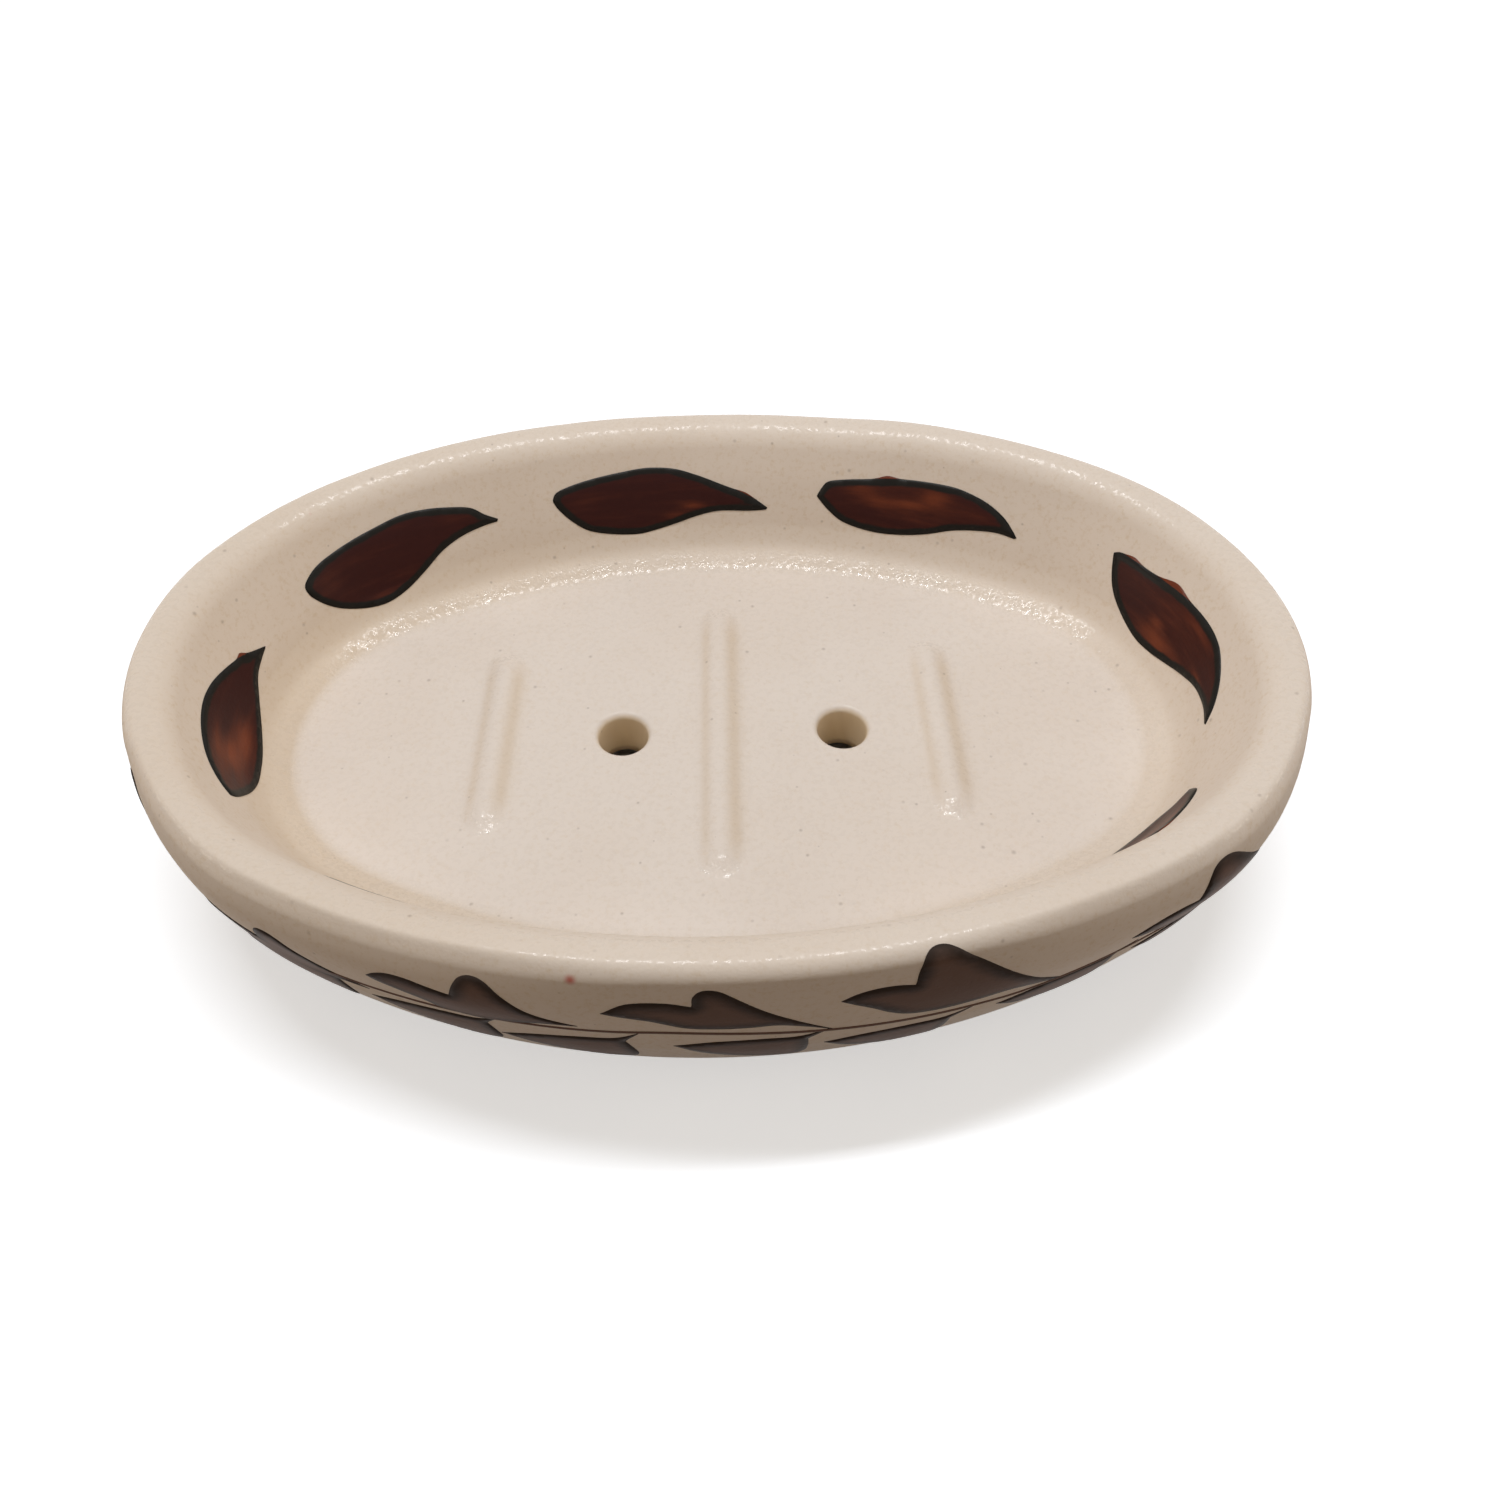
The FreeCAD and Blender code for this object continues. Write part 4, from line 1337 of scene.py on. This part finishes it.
# %% Drawings of the vine's leaves
# stretches of the outline from the free tip, mm along and up; a new stretch starts at each corner
LOW_LOBE = (
    ((0, 0), (2.4, 1.7), (5.8, 1.8), (8.3, 1.2)),
    ((8.3, 1.2), (8.4, 2.8), (9.3, 3.8), (10.8, 3.6), (12.7, 2.0), (14.9, 0.0), (17.6, -2.3), (21.9, -5.9)),
    ((21.9, -5.9), (19.0, -4.3), (16.3, -3.4), (13.8, -3.6), (10.9, -3.7), (7.6, -3.3), (4.3, -1.6),
     (1.3, -0.5), (0, 0)),
)
MID_LOBE = (
    ((0, 0), (1.0, 1.1), (2.5, 1.9), (4.5, 1.9), (6.5, 1.3), (8.6, 0.7)),
    ((8.6, 0.7), (9.2, 2.7), (10.0, 4.1), (11.2, 4.6), (12.5, 4.0), (14.0, 2.0), (16.0, -0.4),
     (18.0, -1.8), (20.5, -3.0)),
    ((20.5, -3.0), (17.0, -3.4), (13.5, -4.8), (10.0, -5.6), (6.5, -5.0), (5.0, -3.2), (3.0, -1.8),
     (1.0, -0.8), (0, 0)),
)
TALL_LOBE = (
    ((0, 0), (1.4, 0.9), (3.2, 1.4), (5.2, 1.4), (6.9, 1.0)),
    ((6.9, 1.0), (7.0, 3.2), (7.5, 5.0), (8.6, 5.7), (10.2, 5.3), (12.8, 3.2), (15.5, 0.8), (18.2, -1.7),
     (21.5, -5.2), (25.7, -9.4)),
    ((25.7, -9.4), (22.5, -7.4), (20.0, -6.2), (17.5, -5.4), (14.5, -5.8), (11.0, -6.0), (7.5, -5.4),
     (5.2, -4.0), (3.2, -2.2), (1.2, -0.8), (0, 0)),
)
WEDGE = (
    ((0, 0), (4.0, 1.3), (8.8, 1.8), (12.6, 1.9), (15.6, 3.6)),
    ((15.6, 3.6), (14.2, 1.9), (13.5, 0.9)),
    ((13.5, 0.9), (13.7, -2.0), (13.5, -4.4), (12.3, -5.9), (8.5, -5.6), (3.4, -3.2), (0, 0)),
)
UPPER_DRAWINGS, LOWER_DRAWINGS = (LOW_LOBE, MID_LOBE, TALL_LOBE), (WEDGE,)
print("drawings:", len(UPPER_DRAWINGS), "above the stem,", len(LOWER_DRAWINGS), "below it")

# %% Places of the vine's leaves
# place of the free tip round the rim and down the wall, drawing, turn in degrees, length, height
UPPER_PLACES = [
    (202.5, 8.0, 1, 0, 1.0, 1.0), (225.0, 4.2, 1, 0, 1.0, 1.0), (247.9, 3.3, 0, 0, 1.0, 1.0),
    (269.8, 2.8, 2, 0, 1.0, 1.0), (299.8, 5.2, 2, 0, 1.15, 1.1),
]
LOWER_PLACES = [
    (236.4, 14.6, 0, 10, 1.0, 1.0), (254.2, 12.3, 0, 0, 0.98, 1.0), (269.2, 13.7, 0, -2, 0.97, 1.0),
]
# the rest of the way round they follow at even steps, with a little sway: start, step and count
UPPER_START, UPPER_STEP, UPPER_COUNT = 325.0, 22.4, 10
LOWER_START, LOWER_STEP, LOWER_COUNT = 287.3, 16.6, 18
UPPER_ORDER = (0, 1, 0, 2, 1)

for k in range(UPPER_COUNT):
    sway = math.sin(2.3 * k)
    kind = UPPER_ORDER[k % len(UPPER_ORDER)]
    UPPER_PLACES.append((UPPER_START + UPPER_STEP * k, 4.0 + 0.6 * sway, kind, 2 * sway, 0.95, 1.0))
for k in range(LOWER_COUNT):
    sway = math.sin(2.7 * k)
    LOWER_PLACES.append((LOWER_START + LOWER_STEP * k, 13.0 + 0.5 * sway, 0, 2 + 3 * sway, 1.0, 1.0))
print("places:", len(UPPER_PLACES), "above the stem,", len(LOWER_PLACES), "below it")

# %% Vine leaves
VINE_SPACING, VINE_THICKNESS = 0.55, 0.12
# the outer line starts this many points up the rounded base, and the vine is placed down from the lip
SKIPPED = 6
outer_guide = flat_guide("outer_guide", np.vstack([base_round[SKIPPED:-1], outer_wall, outer_lip]))
base_steps = len(base_round) - 1
base_run = BASE_ROUND * (math.pi / 2 + round_start) * (base_steps - SKIPPED) / base_steps
lip_run = outer_radius * -round_start + base_run


def vine_leaves(name, drawings, places, node):
    """A row of leaves from its drawings and places."""
    leaves = []
    for stretches in drawings:
        outline = np.vstack([smooth_line(stretch) for stretch in stretches])
        leaf, points, edge = cushion(name + "_leaf", outline, VINE_SPACING, VINE_THICKNESS)
        store(leaf.data, "edge", edge)
        store(leaf.data, "stroke", np.column_stack([points, np.zeros(len(points))]), "FLOAT_VECTOR")
        leaves.append(leaf)
    around, down, kinds, turns, lengths, heights = np.array(places).T
    nothing = np.zeros(len(places))
    row = plain_object(name + "_places", np.column_stack([around, lip_run - down, nothing]) * MM, [])
    store(row.data, "turn", np.column_stack([nothing, nothing, np.radians(turns)]), "FLOAT_VECTOR")
    store(row.data, "size", np.column_stack([lengths, heights, nothing + 1]), "FLOAT_VECTOR")
    store(row.data, "kind", kinds, "INT")
    values = {"Rim line": rim_guide, "Section": outer_guide, "Glaze": vine_glaze}
    laid = run_tree(row, vine_row, name + "_laid", values | dict(zip(LEAF_INPUTS, leaves)))
    for old in (*leaves, row):
        bpy.data.objects.remove(old)
    piece = finish_piece(laid, name, vine_glaze, "vine_glaze", node)
    triangles = sum(len(p.vertices) - 2 for p in piece.data.polygons)
    print(piece.name, "leaves:", len(places), "triangles:", triangles)


vine_leaves("vine_upper_wash", UPPER_DRAWINGS, UPPER_PLACES, "vine_leaves_upper")
vine_leaves("vine_lower_wash", LOWER_DRAWINGS, LOWER_PLACES, "vine_leaves_lower")

# %% Vine stem
# place round the rim and down the wall
STEM_POINTS = [
    (0, 8.6), (40, 8.2), (80, 8.9), (120, 8.3), (160, 8.8), (200, 9.6), (225, 9.4), (246.4, 8.3),
    (255.2, 8.0), (268.5, 9.2), (284.1, 10.4), (292, 10.8), (318, 9.4), (rim_length, 8.6),
]
STEM_STEPS, STEM_HALF_WIDTH = 640, 0.26
# its section: share of the half width, and height over the wall
STEM_SECTION = ((1, -SUNK), (1, 0.03), (0.45, 0.12), (-0.45, 0.12), (-1, 0.03), (-1, -SUNK))
# it is narrow, so one distance to the edge serves all of it
STEM_EDGE = 2.2

stem_line = smooth_line(STEM_POINTS, 26)
stem_at = np.arange(STEM_STEPS) / STEM_STEPS * rim_length
stem_up = lip_run - np.interp(stem_at, *stem_line.T)
ribbon, faces = [], []
count = len(STEM_SECTION)
for i, (along, up) in enumerate(zip(stem_at, stem_up)):
    here, there = i * count, (i + 1) % STEM_STEPS * count
    for k, (share, height) in enumerate(STEM_SECTION):
        after = (k + 1) % count
        ribbon.append((along, up + share * STEM_HALF_WIDTH, height))
        faces.append((here + k, here + after, there + after, there + k))
drawing = plain_object("stem_drawing", np.array(ribbon) * MM, faces)
store(drawing.data, "edge", np.full(len(ribbon), STEM_EDGE))
store(drawing.data, "stroke", ribbon, "FLOAT_VECTOR")
stem = lay_piece(drawing, "vine_stem_wash", rim_guide, outer_guide, vine_glaze, "vine_glaze", "vine_stem")
print(stem.name, "of", round(rim_length), "mm")

# %% [markdown]
# ## Foot ring
#
# The dish stands on a ring of clay. Its solid has the right shape, so only its finish changes: glazed on
# its sides, and bare, sandy clay where it was wiped clean to stand in the kiln.

# %% Foot ring glaze and bare clay
CLAY = colour(196, 168, 138)
# heights in mm between which the glaze begins, and how far that line wanders
BARE_BELOW, GLAZED_ABOVE, WANDERS = 0.75, 1.15, 0.8
GLAZED_ROUGHNESS, BARE_ROUGHNESS = 0.35, 0.80

foot_glaze, tree = new_material("foot_glaze")
skin = group(tree, glaze_ripple)
place = object_mm(tree)
ragged = calc(tree, "MULTIPLY_ADD", noise(tree, place, 0.6), WANDERS, split(tree, place)["Z"])
bare = ramp(tree, ragged, GLAZED_ABOVE, BARE_BELOW)
base = blend(tree, ramp(tree, skin["Swell"], 0.38, 0.68), CREAM, CREAM_SHADE)
base = blend(tree, bare, base, CLAY)
base = speckle(tree, base, per_mm=0.7, share=0.4, size=0.25, strength=0.5)
roughness = between(tree, bare, GLAZED_ROUGHNESS, BARE_ROUGHNESS)
fire(foot_glaze, base, roughness, skin["Height"], depth=0.06 * MM, shine=0.3)
foot = frame["nodes"]["foot_ring"]
foot.data.materials.clear()
foot.data.materials.append(foot_glaze)
print("foot ring glazed with", foot_glaze.name)

# %% [markdown]
# ## Clean up
#
# The guides have done their work and go.

# %% Clean up and finish
for old in guides:
    bpy.data.objects.remove(old)
